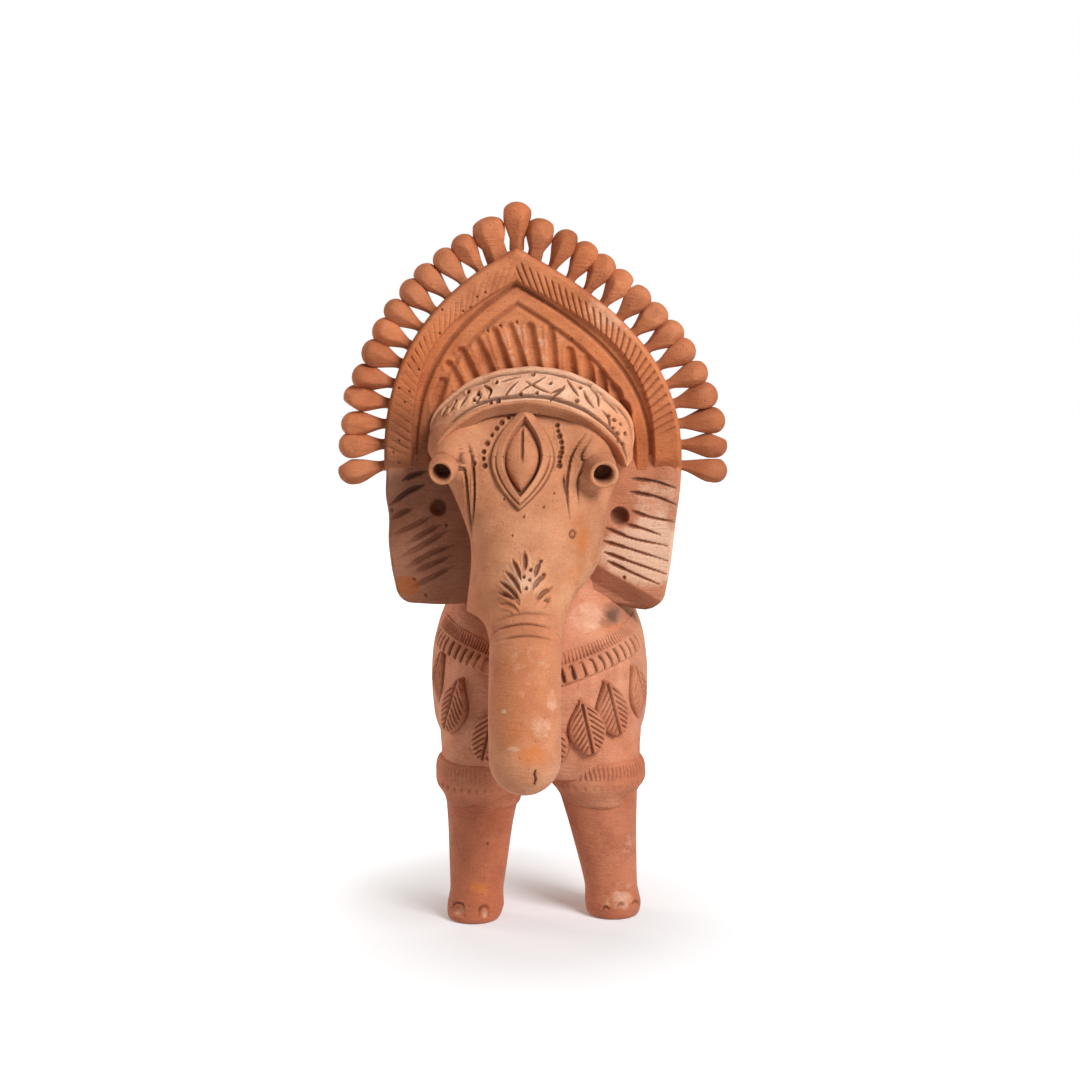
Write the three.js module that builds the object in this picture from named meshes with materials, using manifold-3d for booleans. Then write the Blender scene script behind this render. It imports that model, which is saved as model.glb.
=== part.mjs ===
// Terracotta elephant figurine, hollow, hand built from luted pieces of clay.
// Millimetres, +Z up, the elephant faces -Y, its own left side is +X.
import * as THREE from "three";
import { mergeVertices } from "three/addons/utils/BufferGeometryUtils.js";
import Module from "manifold-3d";

const wasm = await Module();
wasm.setup();

// Joints and walls
const JOINT_GAP = 0.3; // slip-filled seam between two luted pieces
const WALL = 5.5; // thrown wall of the hollow pieces
const HOLLOW_SIDES = 20; // facets round a hollow
const HOLLOW_LEVELS = 4;
const POLE_SHARE = 0.97; // share of the quarter turn taken by the sections of a rounded end

// Body barrel: heights are measured from its widest level
const BODY_WIDEST_Z = 95;
const BODY_RISE = 55; // widest level up to the top of the back
const BODY_DROP = 40; // widest level down to the belly
const BODY_HALF_WIDTH = 47;
const BODY_MIDDLE_Y = 15;
const BODY_CHEST_REACH = 69; // middle of the barrel forward to the chest
const BODY_RUMP_REACH = 75; // middle of the barrel back to the rump
const BODY_PLAN_EXPONENT = 2.4; // 2 makes the plan an ellipse, more makes it squarer
const BODY_SIDE_TOP_EXPONENT = 2.1;
const BODY_SIDE_LOW_EXPONENT = 4.6;
const BODY_CHEST_TOP_EXPONENT = 1.5;
const BODY_CHEST_LOW_EXPONENT = 4.5;
const BODY_SIDES = 32;
const BODY_LEVELS = 6; // sections above the widest level, and as many below it
const BELLY_Z = BODY_WIDEST_Z - BODY_DROP;
const BACK_Z = BODY_WIDEST_Z + BODY_RISE;
const CHEST_Y = BODY_MIDDLE_Y - BODY_CHEST_REACH;
const RUMP_Y = BODY_MIDDLE_Y + BODY_RUMP_REACH;

// Head: heights are measured from its widest level, depths from its middle
const HEAD_X = -6; // the head sits a little to the elephant's right
const HEAD_ABOVE_BACK = 45; // its widest level lies above the top of the back
const HEAD_MIDDLE_Y = -14;
const HEAD_RISE = 31.5; // widest level up to the top of the skull
const HEAD_DROP = 62; // widest level down to the jaw
const HEAD_HALF_WIDTH = 41.5;
const HEAD_BROW_REACH = 28; // middle of the head forward to the brow
const HEAD_NAPE_REACH = 36; // middle of the head back to the nape
const JAW_HALF_WIDTH = 24;
const JAW_FRONT_REACH = 48;
const JAW_BACK_REACH = 22;
const HEAD_PLAN_EXPONENT = 2.3;
const HEAD_TOP_EXPONENT = 2.2;
const HEAD_BROW_EXPONENT = 1.55;
const CHEEK_EXPONENT = 1.4; // how soon the cheeks draw in below the eyes
const FACE_EXPONENT = 2; // how soon the face comes forward below the brow
const NAPE_EXPONENT = 2.2; // how soon the nape runs down to the jaw
const HEAD_SIDES = 32;
const HEAD_LEVELS = 6;
const HEAD_WIDEST_Z = BACK_Z + HEAD_ABOVE_BACK;
const BROW_Y = HEAD_MIDDLE_Y - HEAD_BROW_REACH;
const NAPE_Y = HEAD_MIDDLE_Y + HEAD_NAPE_REACH;
const JAW_FRONT_Y = HEAD_MIDDLE_Y - JAW_FRONT_REACH;
const JAW_BACK_Y = HEAD_MIDDLE_Y - JAW_BACK_REACH;

// Neck collar
const NECK_BEHIND = 6; // its middle lies behind the middle of the head
const NECK_HALF_WIDTH = 25;
const NECK_HALF_DEPTH = 21;
const NECK_INTO_BODY = 30; // how far it runs down into the barrel before it is trimmed
const NECK_INTO_HEAD = 47; // how far it runs up past the jaw before it is trimmed
const NECK_SIDES = 24;

// Trunk: one curve runs from inside the forehead to the tip
const TRUNK_START_AHEAD = 19;
const TRUNK_START_BELOW = 30;
const TRUNK_CHEEK_AHEAD = 36;
const TRUNK_CHEEK_BELOW = 52;
const TRUNK_SEAM_AHEAD = 56;
const TRUNK_SEAM_BELOW = 72;
const TRUNK_MIDDLE_AHEAD = 67;
const TRUNK_MIDDLE_BELOW = 94;
const TRUNK_END_AHEAD = 73;
const TRUNK_END_BELOW = 115.5;
const TRUNK_START_RADIUS = 17;
const TRUNK_SEAM_RADIUS = 14.7;
const TRUNK_TIP_RADIUS = 14.5;
const TRUNK_SEAM_SHARE = 0.5; // the seam is the middle one of the curve's points
const TRUNK_OVERRUN_SHARE = 0.05; // how far past the seam a hollow is cut, so that it opens
const TRUNK_SIDES = 20;
const TRUNK_STEPS = 7;
const TIP_STEPS = 4; // sections that round off the closed tip

// Crown plate and rim
const CROWN_AHEAD = 2; // its face stands in front of the middle of the head
const CROWN_THICKNESS = 8;
const CROWN_SHIFT_X = 3;
const CROWN_HALF_WIDTH = 62.5;
const CROWN_BELOW = 9; // its base lies below the widest level of the head
const CROWN_HEIGHT = 91;
const CROWN_UPRIGHT = 6; // height of the straight sides above the base
const CROWN_APEX_LEAN = -6.9; // the apex leans to the elephant's right
const CROWN_APEX_SLOPE = (29 * Math.PI) / 180;
const CROWN_SIDE_PULL = 46; // how far the sides rise before they lean in
const CROWN_APEX_PULL = 36; // how far the shoulders run straight below the apex
const CROWN_STEPS = 14; // points along each half of the arch
const RIM_WIDTH = 12;
const RIM_HEIGHT = 3.5;
const CROWN_FRONT_Y = HEAD_MIDDLE_Y - CROWN_AHEAD;
const CROWN_MIDDLE_X = HEAD_X + CROWN_SHIFT_X;
const CROWN_BASE_Z = HEAD_WIDEST_Z - CROWN_BELOW;
const CROWN_SPRING_Z = CROWN_BASE_Z + CROWN_UPRIGHT;
const CROWN_APEX_X = CROWN_MIDDLE_X + CROWN_APEX_LEAN;
const CROWN_APEX_Z = CROWN_BASE_Z + CROWN_HEIGHT;

// Crown clubs
const CLUBS_RIGHT_SIDE = 13; // between the elephant's right ear and the apex
const CLUBS_LEFT_SIDE = 14; // between the apex and its left ear
const CLUB_LENGTH = 17.4; // on the shoulders of the arch
const CLUB_SIDE_EXTRA = 2.6; // added on the upright sides
const CLUB_APEX_EXTRA = 3.2; // added at the apex
const CLUB_DIAMETER = 9.8; // where its neighbours leave room for it
const CLUB_ROOT_DIAMETER = 3.6;
const CLUB_BULGE_SHARE = 0.66; // share of the length where a club is thickest
const CLUB_TIP_SHARE = 0.45; // share of the radius left at the blunt tip
const CLUB_FAN = 36; // length of arch over which a club's direction is averaged
const CLUB_DROOP = (13 * Math.PI) / 180; // how far the lowest clubs point down
const CLUB_SIDES = 8;
const CLUB_FIRST_Z = CROWN_BASE_Z + CLUB_ROOT_DIAMETER / 2;

// Headband and brow roll
const BAND_THICKNESS = 3;
const BAND_DEPTH = 15.5; // from the crown's face forward
const BAND_END_ABOVE = 4; // its ends stop above the widest level of the head
const ROLL_THICKNESS = 3.8;
const ROLL_DEPTH = 3.4;
const ROLL_END_ABOVE = 1;

// Forehead lozenge and bud
const LOZENGE_SHIFT_X = -1.6;
const LOZENGE_ABOVE = 17; // its top lies above the widest level of the head
const LOZENGE_LENGTH = 35;
const LOZENGE_WIDTH = 29;
const LOZENGE_THICKNESS = 2.6;
const BUD_LENGTH = 25;
const BUD_WIDTH = 16;
const BUD_THICKNESS = 4.6;
const LOZENGE_X = HEAD_X + LOZENGE_SHIFT_X;
const LOZENGE_Z = HEAD_WIDEST_Z + LOZENGE_ABOVE - LOZENGE_LENGTH / 2;

// Eye tubes
const EYE_SPREAD = 35; // from the middle of the face to each socket
const EYE_AHEAD = 10; // in front of the brow
const EYE_BELOW = 6.5; // below the widest level of the head
const SOCKET_DIAMETER = 8.8;
const SOCKET_DEPTH = 9;
const EYE_LIP = 1.8; // clay left round the socket
const EYE_ROOT_DIAMETER = 16.5;
const EYE_LENGTH = 19;
const EYE_OUTWARD_SHARE = 0.3; // sideways share of the direction a tube points in
const EYE_DOWNWARD_SHARE = 0.26;
const EYE_SIDES = 18;

// Ears
const EAR_THICKNESS = 7;
const EAR_AHEAD = 2; // the ear's face stands in front of the crown's face
const EAR_HEIGHT = 57;
const EAR_FOOT_WIDTH = 27; // width of the lower edge from the outer corner
const EAR_TAPER = 4; // how far the outer edge leans in towards the foot
const EAR_CORNER = 7;
const EAR_ROOT_X = 14; // inner end of the slab, from the middle of the head
const EAR_HOLE_DIAMETER = 8;
const EAR_HOLE_DEPTH = 4.5;
const EAR_HOLE_BELOW = 13; // below the crown's base
const EAR_HOLE_IN = 24; // in from the ear's outer edge
const EAR_FRONT_Y = CROWN_FRONT_Y - EAR_AHEAD;

// Necklace and leaves
const NECKLACE_ABOVE = 16.5; // its ends lie above the widest level of the barrel
const NECKLACE_SAG = 7;
const NECKLACE_HEIGHT = 12.5;
const NECKLACE_THICKNESS = 2.2;
const NECKLACE_RUN = 66; // from the chest back to where the strip ends on the flanks
const LEAF_COUNT = 8;
const LEAF_LENGTH = 25;
const LEAF_WIDTH = 12.5;
const LEAF_THICKNESS = 2.6;
const LEAF_HANG = 0.6; // space between the strip and the leaf's stem
const LEAF_SPREAD = (66 * Math.PI) / 180; // turn of the outermost leaf from the middle one
const LEAF_TURN = (-5 * Math.PI) / 180; // the garland hangs a little to the elephant's right
const LEAF_AXIS_BEHIND = 51; // upright axis that the leaves fan round, behind the chest
const LEAF_STEPS = 8;
const NECKLACE_END_Z = BODY_WIDEST_Z + NECKLACE_ABOVE;

// Legs
const LEG_TOP_RADIUS = 18.3;
const LEG_INTO_BODY = 11; // the tube runs up past the belly before it is trimmed
const LEG_RING_RADIUS = 16.3; // radius where the leg leaves its ring
const ANKLE_RADIUS = 11;
const ANKLE_Z = 13;
const FOOT_RADIUS = 11.6;
const FOOT_Z = 5;
const SOLE_RADIUS = 10.4;
const LEG_WALL = 4.5;
const SOLE_THICKNESS = 8;
const HIP_INSET = 24.7; // from the side of the barrel in to the top of a leg
const LEG_SPLAY = 7.2; // how much further out than its top a foot stands
const STANCE_X = 1.6; // the feet stand a little to the elephant's left
const FRONT_HIP_INSET = 23; // from the chest back to the top of a front leg
const FRONT_STRIDE = 7; // how far a front foot stands in front of its top
const RIGHT_EXTRA_STRIDE = 6; // the elephant's right front foot stands further forward
const REAR_HIP_INSET = 32; // from the rump forward to the top of a rear leg
const REAR_STRIDE = 4;
const LEG_SIDES = 20;
const LEG_TOP_Z = BELLY_Z + LEG_INTO_BODY;

// Leg rings
const RING_BELOW = 0.5; // a ring starts below the belly
const RING_HEIGHT = 13;
const RING_OUT = 4.6; // how far a ring stands out from the leg
const RING_EDGE = 2; // how much it is rounded off above and below
const RING_SIDES = 24;
const RING_LOW_Z = BELLY_Z - RING_BELOW;

// Tail
const TAIL_ABOVE = 33; // its root lies above the widest level of the barrel
const TAIL_LENGTH = 50;
const TAIL_RADIUS = 4.2;
const TAIL_TUFT_RADIUS = 5.4;
const TAIL_END_SHARE = 0.6; // share of the radius left at both ends
const TAIL_SWING = 5;
const TAIL_STEPS = 9;
const TAIL_SIDES = 12;

// Fired clay colours
const CLAY = 0xb5744c;
const CLAY_PALE = 0xc08a63;
const CLAY_RED = 0xa4633f;
const CLAY_ORANGE = 0xc07a45;

// Solids from geometry and back again
function solid(geometry) {
  const bare = geometry.clone();
  bare.deleteAttribute("normal");
  bare.deleteAttribute("uv");
  const merged = mergeVertices(bare, 1e-4);
  return new wasm.Manifold(
    new wasm.Mesh({
      numProp: 3,
      vertProperties: new Float32Array(merged.attributes.position.array),
      triVerts: new Uint32Array(merged.index.array),
    })
  );
}

function geometryOf(body) {
  const mesh = body.getMesh();
  const geometry = new THREE.BufferGeometry();
  const places = new Float32Array(mesh.vertProperties);
  geometry.setAttribute("position", new THREE.BufferAttribute(places, 3));
  geometry.setIndex(new THREE.BufferAttribute(new Uint32Array(mesh.triVerts), 1));
  const flat = geometry.toNonIndexed();
  flat.computeVertexNormals();
  return flat;
}

// A closed skin over rings of points, each ring seen counter-clockwise from the end it grows to
function skin(rings) {
  const count = rings[0].length;
  const places = [];
  const faces = [];
  for (const ring of rings) {
    for (const point of ring) places.push(point.x, point.y, point.z);
  }
  for (let level = 0; level + 1 < rings.length; level += 1) {
    for (let side = 0; side < count; side += 1) {
      const next = (side + 1) % count;
      const here = level * count;
      const above = here + count;
      faces.push(here + side, here + next, above + next);
      faces.push(here + side, above + next, above + side);
    }
  }
  const lowest = places.length / 3;
  for (const ring of [rings[0], rings[rings.length - 1]]) {
    const centre = new THREE.Vector3();
    for (const point of ring) centre.addScaledVector(point, 1 / count);
    places.push(centre.x, centre.y, centre.z);
  }
  const topRing = (rings.length - 1) * count;
  for (let side = 0; side < count; side += 1) {
    const next = (side + 1) % count;
    faces.push(lowest, next, side);
    faces.push(lowest + 1, topRing + side, topRing + next);
  }
  const geometry = new THREE.BufferGeometry();
  geometry.setAttribute("position", new THREE.Float32BufferAttribute(places, 3));
  geometry.setIndex(faces);
  return solid(geometry);
}

// A level ring: half width, and separate reaches to the front and the back of its middle
function levelRing(x, y, z, halfWidth, front, back, squareness, sides) {
  const ring = [];
  for (let side = 0; side < sides; side += 1) {
    const turn = (2 * Math.PI * side) / sides;
    const across = Math.cos(turn);
    const along = Math.sin(turn);
    const bend = (value) => Math.sign(value) * Math.abs(value) ** (2 / squareness);
    const reach = along < 0 ? front : back;
    ring.push(new THREE.Vector3(x + halfWidth * bend(across), y + reach * bend(along), z));
  }
  return ring;
}

// Share of the full size left at a share of the way to a rounded end
function rounding(share, round) {
  return Math.max(0, 1 - share ** round) ** (1 / round);
}

// A block standing on its low corner
function block(low, high) {
  const size = new THREE.Vector3().subVectors(high, low);
  const geometry = new THREE.BoxGeometry(size.x, size.y, size.z);
  geometry.translate(low.x + size.x / 2, low.y + size.y / 2, low.z + size.z / 2);
  return solid(geometry);
}

// An upright slab cut from an outline drawn in x and z
function slab(outline, frontY, thickness) {
  const geometry = new THREE.ExtrudeGeometry(outline, {
    depth: thickness,
    bevelEnabled: false,
    curveSegments: CROWN_STEPS,
  });
  geometry.rotateX(Math.PI / 2);
  geometry.translate(0, frontY + thickness, 0);
  return solid(geometry);
}

// Body barrel
function bodyLevel(z, grow) {
  const above = z >= BODY_WIDEST_Z;
  const span = (above ? BODY_RISE : BODY_DROP) + grow;
  const share = Math.abs(z - BODY_WIDEST_Z) / span;
  const side = rounding(share, above ? BODY_SIDE_TOP_EXPONENT : BODY_SIDE_LOW_EXPONENT);
  const chest = rounding(share, above ? BODY_CHEST_TOP_EXPONENT : BODY_CHEST_LOW_EXPONENT);
  return {
    halfWidth: (BODY_HALF_WIDTH + grow) * side,
    front: (BODY_CHEST_REACH + grow) * chest,
    back: (BODY_RUMP_REACH + grow) * side,
  };
}

function bodyOuter(grow, sides = BODY_SIDES, levels = BODY_LEVELS) {
  const rings = [];
  for (let level = -levels; level <= levels; level += 1) {
    const share = Math.sin((POLE_SHARE * Math.PI * level) / (2 * levels));
    const span = (level < 0 ? BODY_DROP : BODY_RISE) + grow;
    const z = BODY_WIDEST_Z + share * span;
    const { halfWidth, front, back } = bodyLevel(z, grow);
    rings.push(levelRing(0, BODY_MIDDLE_Y, z, halfWidth, front, back, BODY_PLAN_EXPONENT, sides));
  }
  return skin(rings);
}

// Head: the skull above the widest level, the face and jaw below it
function headLevel(z, grow) {
  if (z >= HEAD_WIDEST_Z) {
    const share = (z - HEAD_WIDEST_Z) / (HEAD_RISE + grow);
    const side = rounding(share, HEAD_TOP_EXPONENT);
    return {
      halfWidth: (HEAD_HALF_WIDTH + grow) * side,
      front: (HEAD_BROW_REACH + grow) * rounding(share, HEAD_BROW_EXPONENT),
      back: (HEAD_NAPE_REACH + grow) * side,
      y: HEAD_MIDDLE_Y,
    };
  }
  const share = Math.min(1, (HEAD_WIDEST_Z - z) / HEAD_DROP);
  const cheek = 1 - (1 - share) ** CHEEK_EXPONENT;
  const face = 1 - (1 - share) ** FACE_EXPONENT;
  const nape = share ** NAPE_EXPONENT;
  const frontY = THREE.MathUtils.lerp(BROW_Y, JAW_FRONT_Y, face) - grow;
  const backY = THREE.MathUtils.lerp(NAPE_Y, JAW_BACK_Y, nape) + grow;
  const jawY = (JAW_FRONT_Y + JAW_BACK_Y) / 2;
  const y = THREE.MathUtils.lerp(HEAD_MIDDLE_Y, jawY, nape);
  return {
    halfWidth: THREE.MathUtils.lerp(HEAD_HALF_WIDTH, JAW_HALF_WIDTH, cheek) + grow,
    front: y - frontY,
    back: backY - y,
    y,
  };
}

function skull(grow, sides = HEAD_SIDES, levels = HEAD_LEVELS) {
  const rings = [];
  for (let level = -levels; level <= levels; level += 1) {
    const up = level / levels;
    const rise = Math.sin((POLE_SHARE * Math.PI * up) / 2) * (HEAD_RISE + grow);
    const z = HEAD_WIDEST_Z + (up < 0 ? up * (HEAD_DROP + grow) : rise);
    const { halfWidth, front, back, y } = headLevel(z, grow);
    rings.push(levelRing(HEAD_X, y, z, halfWidth, front, back, HEAD_PLAN_EXPONENT, sides));
  }
  return skin(rings);
}

// Trunk curve, from points given in front of and below the middle of the head
function trunkPoint(ahead, below) {
  return new THREE.Vector3(HEAD_X, HEAD_MIDDLE_Y - ahead, HEAD_WIDEST_Z - below);
}

const trunkCurve = new THREE.CatmullRomCurve3([
  trunkPoint(TRUNK_START_AHEAD, TRUNK_START_BELOW),
  trunkPoint(TRUNK_CHEEK_AHEAD, TRUNK_CHEEK_BELOW),
  trunkPoint(TRUNK_SEAM_AHEAD, TRUNK_SEAM_BELOW),
  trunkPoint(TRUNK_MIDDLE_AHEAD, TRUNK_MIDDLE_BELOW),
  trunkPoint(TRUNK_END_AHEAD, TRUNK_END_BELOW),
]);

function ringAcross(centre, along, radius, sides) {
  const across = new THREE.Vector3(1, 0, 0);
  const up = new THREE.Vector3().crossVectors(along, across).normalize();
  const ring = [];
  for (let side = 0; side < sides; side += 1) {
    const turn = (2 * Math.PI * side) / sides;
    const point = centre.clone();
    point.addScaledVector(across, radius * Math.cos(turn));
    point.addScaledVector(up, radius * Math.sin(turn));
    ring.push(point);
  }
  return ring;
}

function trunkRadius(share) {
  if (share <= TRUNK_SEAM_SHARE) {
    const run = share / TRUNK_SEAM_SHARE;
    return THREE.MathUtils.lerp(TRUNK_START_RADIUS, TRUNK_SEAM_RADIUS, run ** 2);
  }
  const run = (share - TRUNK_SEAM_SHARE) / (1 - TRUNK_SEAM_SHARE);
  return THREE.MathUtils.lerp(TRUNK_SEAM_RADIUS, TRUNK_TIP_RADIUS, run);
}

function trunkRings(from, to, grow, steps) {
  const rings = [];
  for (let step = 0; step <= steps; step += 1) {
    const share = THREE.MathUtils.lerp(from, to, step / steps);
    const centre = trunkCurve.getPoint(share);
    const along = trunkCurve.getTangent(share);
    rings.push(ringAcross(centre, along, trunkRadius(share) + grow, TRUNK_SIDES));
  }
  return rings;
}

function headOuter(grow) {
  return skull(grow).add(skin(trunkRings(0, TRUNK_SEAM_SHARE, grow, TRUNK_STEPS)));
}

function trunkSolid(from, grow) {
  const rings = trunkRings(from, 1, grow, TRUNK_STEPS);
  const end = trunkCurve.getPoint(1);
  const along = trunkCurve.getTangent(1);
  const radius = TRUNK_TIP_RADIUS + grow;
  for (let step = 1; step <= TIP_STEPS; step += 1) {
    const turn = (Math.PI * step) / (2 * TIP_STEPS + 1);
    const centre = end.clone().addScaledVector(along, radius * Math.sin(turn));
    rings.push(ringAcross(centre, along, radius * Math.cos(turn), TRUNK_SIDES));
  }
  return skin(rings);
}

// Neck collar
function neckColumn(grow) {
  const x = HEAD_X / 2;
  const y = HEAD_MIDDLE_Y + NECK_BEHIND;
  const halfWidth = NECK_HALF_WIDTH + grow;
  const halfDepth = NECK_HALF_DEPTH + grow;
  const ends = [BACK_Z - NECK_INTO_BODY, HEAD_WIDEST_Z - HEAD_DROP + NECK_INTO_HEAD];
  return skin(ends.map((z) => levelRing(x, y, z, halfWidth, halfDepth, halfDepth, 2, NECK_SIDES)));
}

const bodyHull = bodyOuter(0);
const bodySeat = bodyOuter(JOINT_GAP);
const headHull = headOuter(0);
const headSeat = headOuter(JOINT_GAP);
const neckBore = neckColumn(-WALL);
const bodyHollow = bodyOuter(-WALL, HOLLOW_SIDES, HOLLOW_LEVELS);
const pastSeam = TRUNK_SEAM_SHARE + TRUNK_OVERRUN_SHARE;
const snoutHollow = skin(trunkRings(0, pastSeam, -WALL, HOLLOW_LEVELS));
const headHollow = skull(-WALL, HOLLOW_SIDES, HOLLOW_LEVELS).add(snoutHollow);

// Crown: a pointed arch, and the same arch drawn further in
function crownArch(inset) {
  const apexDrop = inset / Math.cos(CROWN_APEX_SLOPE);
  const apex = new THREE.Vector2(CROWN_APEX_X, CROWN_APEX_Z - apexDrop);
  const halves = [];
  for (const side of [-1, 1]) {
    const spring = new THREE.Vector2(CROWN_MIDDLE_X + side * (CROWN_HALF_WIDTH - inset), CROWN_SPRING_Z);
    const rise = new THREE.Vector2(spring.x, spring.y + CROWN_SIDE_PULL);
    const shoulder = new THREE.Vector2(
      apex.x + side * CROWN_APEX_PULL * Math.cos(CROWN_APEX_SLOPE),
      apex.y - CROWN_APEX_PULL * Math.sin(CROWN_APEX_SLOPE)
    );
    halves.push({ spring, rise, shoulder, apex });
  }
  return halves;
}

function crownOutline(inset) {
  const [right, left] = crownArch(inset);
  const outline = new THREE.Shape();
  outline.moveTo(right.spring.x, CROWN_BASE_Z);
  outline.lineTo(right.spring.x, right.spring.y);
  outline.bezierCurveTo(
    right.rise.x, right.rise.y, right.shoulder.x, right.shoulder.y, right.apex.x, right.apex.y
  );
  outline.bezierCurveTo(
    left.shoulder.x, left.shoulder.y, left.rise.x, left.rise.y, left.spring.x, left.spring.y
  );
  outline.lineTo(left.spring.x, CROWN_BASE_Z);
  outline.closePath();
  return outline;
}

const crownPlate = slab(crownOutline(0), CROWN_FRONT_Y, CROWN_THICKNESS).subtract(headSeat);
const rimFrontY = CROWN_FRONT_Y - RIM_HEIGHT;
const rimThickness = RIM_HEIGHT - JOINT_GAP;
const rimOutside = slab(crownOutline(0), rimFrontY, rimThickness);
const rimInside = slab(crownOutline(RIM_WIDTH), rimFrontY - RIM_HEIGHT, 3 * RIM_HEIGHT);
const rimFoot = block(
  new THREE.Vector3(-CROWN_HALF_WIDTH * 2, rimFrontY - RIM_HEIGHT, CROWN_BASE_Z - RIM_HEIGHT),
  new THREE.Vector3(CROWN_HALF_WIDTH * 2, CROWN_FRONT_Y, CROWN_BASE_Z + JOINT_GAP)
);
const crownRim = rimOutside.subtract(rimInside).subtract(rimFoot);

// Crown clubs: evenly spaced along the arch, square to it, each as thick as its neighbours allow
const crownSeat = slab(
  crownOutline(-JOINT_GAP),
  CROWN_FRONT_Y - JOINT_GAP,
  CROWN_THICKNESS + 2 * JOINT_GAP
);

function clubPath() {
  const [right, left] = crownArch(0);
  const path = new THREE.CurvePath();
  const foot = new THREE.Vector2(right.spring.x, CLUB_FIRST_Z);
  const end = new THREE.Vector2(left.spring.x, CLUB_FIRST_Z);
  path.add(new THREE.LineCurve(foot, right.spring));
  path.add(new THREE.CubicBezierCurve(right.spring, right.rise, right.shoulder, right.apex));
  path.add(new THREE.CubicBezierCurve(left.apex, left.shoulder, left.rise, left.spring));
  path.add(new THREE.LineCurve(left.spring, end));
  return path;
}

function clubGeometry(length, diameter) {
  const root = CLUB_ROOT_DIAMETER / 2;
  const bulge = diameter / 2;
  const thickest = length * CLUB_BULGE_SHARE;
  const swell = new THREE.CubicBezierCurve(
    new THREE.Vector2(root, -root),
    new THREE.Vector2(root, thickest / 2),
    new THREE.Vector2(bulge, thickest / 2),
    new THREE.Vector2(bulge, thickest)
  );
  const tip = new THREE.QuadraticBezierCurve(
    new THREE.Vector2(bulge, thickest),
    new THREE.Vector2(bulge, length),
    new THREE.Vector2(bulge * CLUB_TIP_SHARE, length)
  );
  const profile = [new THREE.Vector2(0, -root)];
  profile.push(...swell.getPoints(3), ...tip.getPoints(2).slice(1));
  profile.push(new THREE.Vector2(0, length));
  return new THREE.LatheGeometry(profile, CLUB_SIDES);
}

// Where each club is rooted, which way it points and how long it is
function clubStations() {
  const path = clubPath();
  const lengths = path.getCurveLengths();
  const whole = path.getLength();
  const toApex = lengths[1];
  const depthways = new THREE.Vector3(0, 1, 0);
  const stations = [];
  for (let club = 0; club <= CLUBS_RIGHT_SIDE + CLUBS_LEFT_SIDE; club += 1) {
    const past = club - CLUBS_RIGHT_SIDE;
    const share = past <= 0 ? club / CLUBS_RIGHT_SIDE : past / CLUBS_LEFT_SIDE;
    const run = past <= 0 ? share * toApex : toApex + share * (whole - toApex);
    const place = path.getPoint(run / whole);
    const before = path.getPoint(Math.max(0, run - CLUB_FAN / 2) / whole);
    const after = path.getPoint(Math.min(whole, run + CLUB_FAN / 2) / whole);
    const along = after.sub(before).normalize();
    const low = Math.max(0, 1 - (2 * (place.y - CLUB_FIRST_Z)) / (CROWN_APEX_Z - CLUB_FIRST_Z));
    const outward = new THREE.Vector3(-along.y, 0, along.x);
    outward.applyAxisAngle(depthways, Math.sign(past) * CLUB_DROOP * low ** 2);
    const extra = past === 0 ? CLUB_APEX_EXTRA : CLUB_SIDE_EXTRA * Math.sqrt(low);
    const root = new THREE.Vector3(place.x, CROWN_FRONT_Y + CROWN_THICKNESS / 2, place.y);
    stations.push({ root, outward, length: CLUB_LENGTH + extra });
  }
  return stations;
}

function clubs() {
  const stations = clubStations();
  const bulges = stations.map(({ root, outward, length }) =>
    root.clone().addScaledVector(outward, length * CLUB_BULGE_SHARE)
  );
  return stations.map(({ root, outward, length }, club) => {
    const neighbours = [bulges[club - 1], bulges[club + 1]].filter(Boolean);
    const spacings = neighbours.map((bulge) => bulge.distanceTo(bulges[club]));
    const diameter = Math.min(CLUB_DIAMETER, ...spacings.map((spacing) => spacing - JOINT_GAP));
    const depthways = new THREE.Vector3(0, 1, 0);
    const across = new THREE.Vector3().crossVectors(outward, depthways);
    const place = new THREE.Matrix4().makeBasis(across, outward, depthways);
    place.setPosition(root);
    const shape = clubGeometry(length, diameter).applyMatrix4(place);
    return onePiece(solid(shape).subtract(crownSeat));
  });
}

// The largest of the pieces that a cut leaves
function onePiece(body) {
  let kept = body;
  let most = 0;
  for (const part of body.decompose()) {
    if (part.volume() > most) {
      kept = part;
      most = part.volume();
    }
  }
  return kept;
}

// Headband and brow roll: strips laid over the skull in front of the crown
function skullStrip(thickness, frontY, backY, lowZ, seat) {
  const reach = 2 * HEAD_HALF_WIDTH;
  const room = block(
    new THREE.Vector3(HEAD_X - reach, frontY, lowZ),
    new THREE.Vector3(HEAD_X + reach, backY, HEAD_WIDEST_Z + 2 * HEAD_RISE)
  );
  const strip = skull(thickness).intersect(room);
  return seat ? strip : onePiece(strip.subtract(headSeat));
}

const bandBackY = CROWN_FRONT_Y - JOINT_GAP;
const bandFrontY = CROWN_FRONT_Y - BAND_DEPTH;
const rollBackY = bandFrontY - JOINT_GAP;
const rollFrontY = rollBackY - ROLL_DEPTH;
const bandLowZ = HEAD_WIDEST_Z + BAND_END_ABOVE;
const rollLowZ = HEAD_WIDEST_Z + ROLL_END_ABOVE;
const headband = skullStrip(BAND_THICKNESS, bandFrontY, bandBackY, bandLowZ, false);
const browRoll = skullStrip(ROLL_THICKNESS, rollFrontY, rollBackY, rollLowZ, false);
const browRollSeat = skullStrip(
  ROLL_THICKNESS + JOINT_GAP,
  rollFrontY - JOINT_GAP,
  rollBackY + JOINT_GAP,
  rollLowZ - JOINT_GAP,
  true
);

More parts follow.
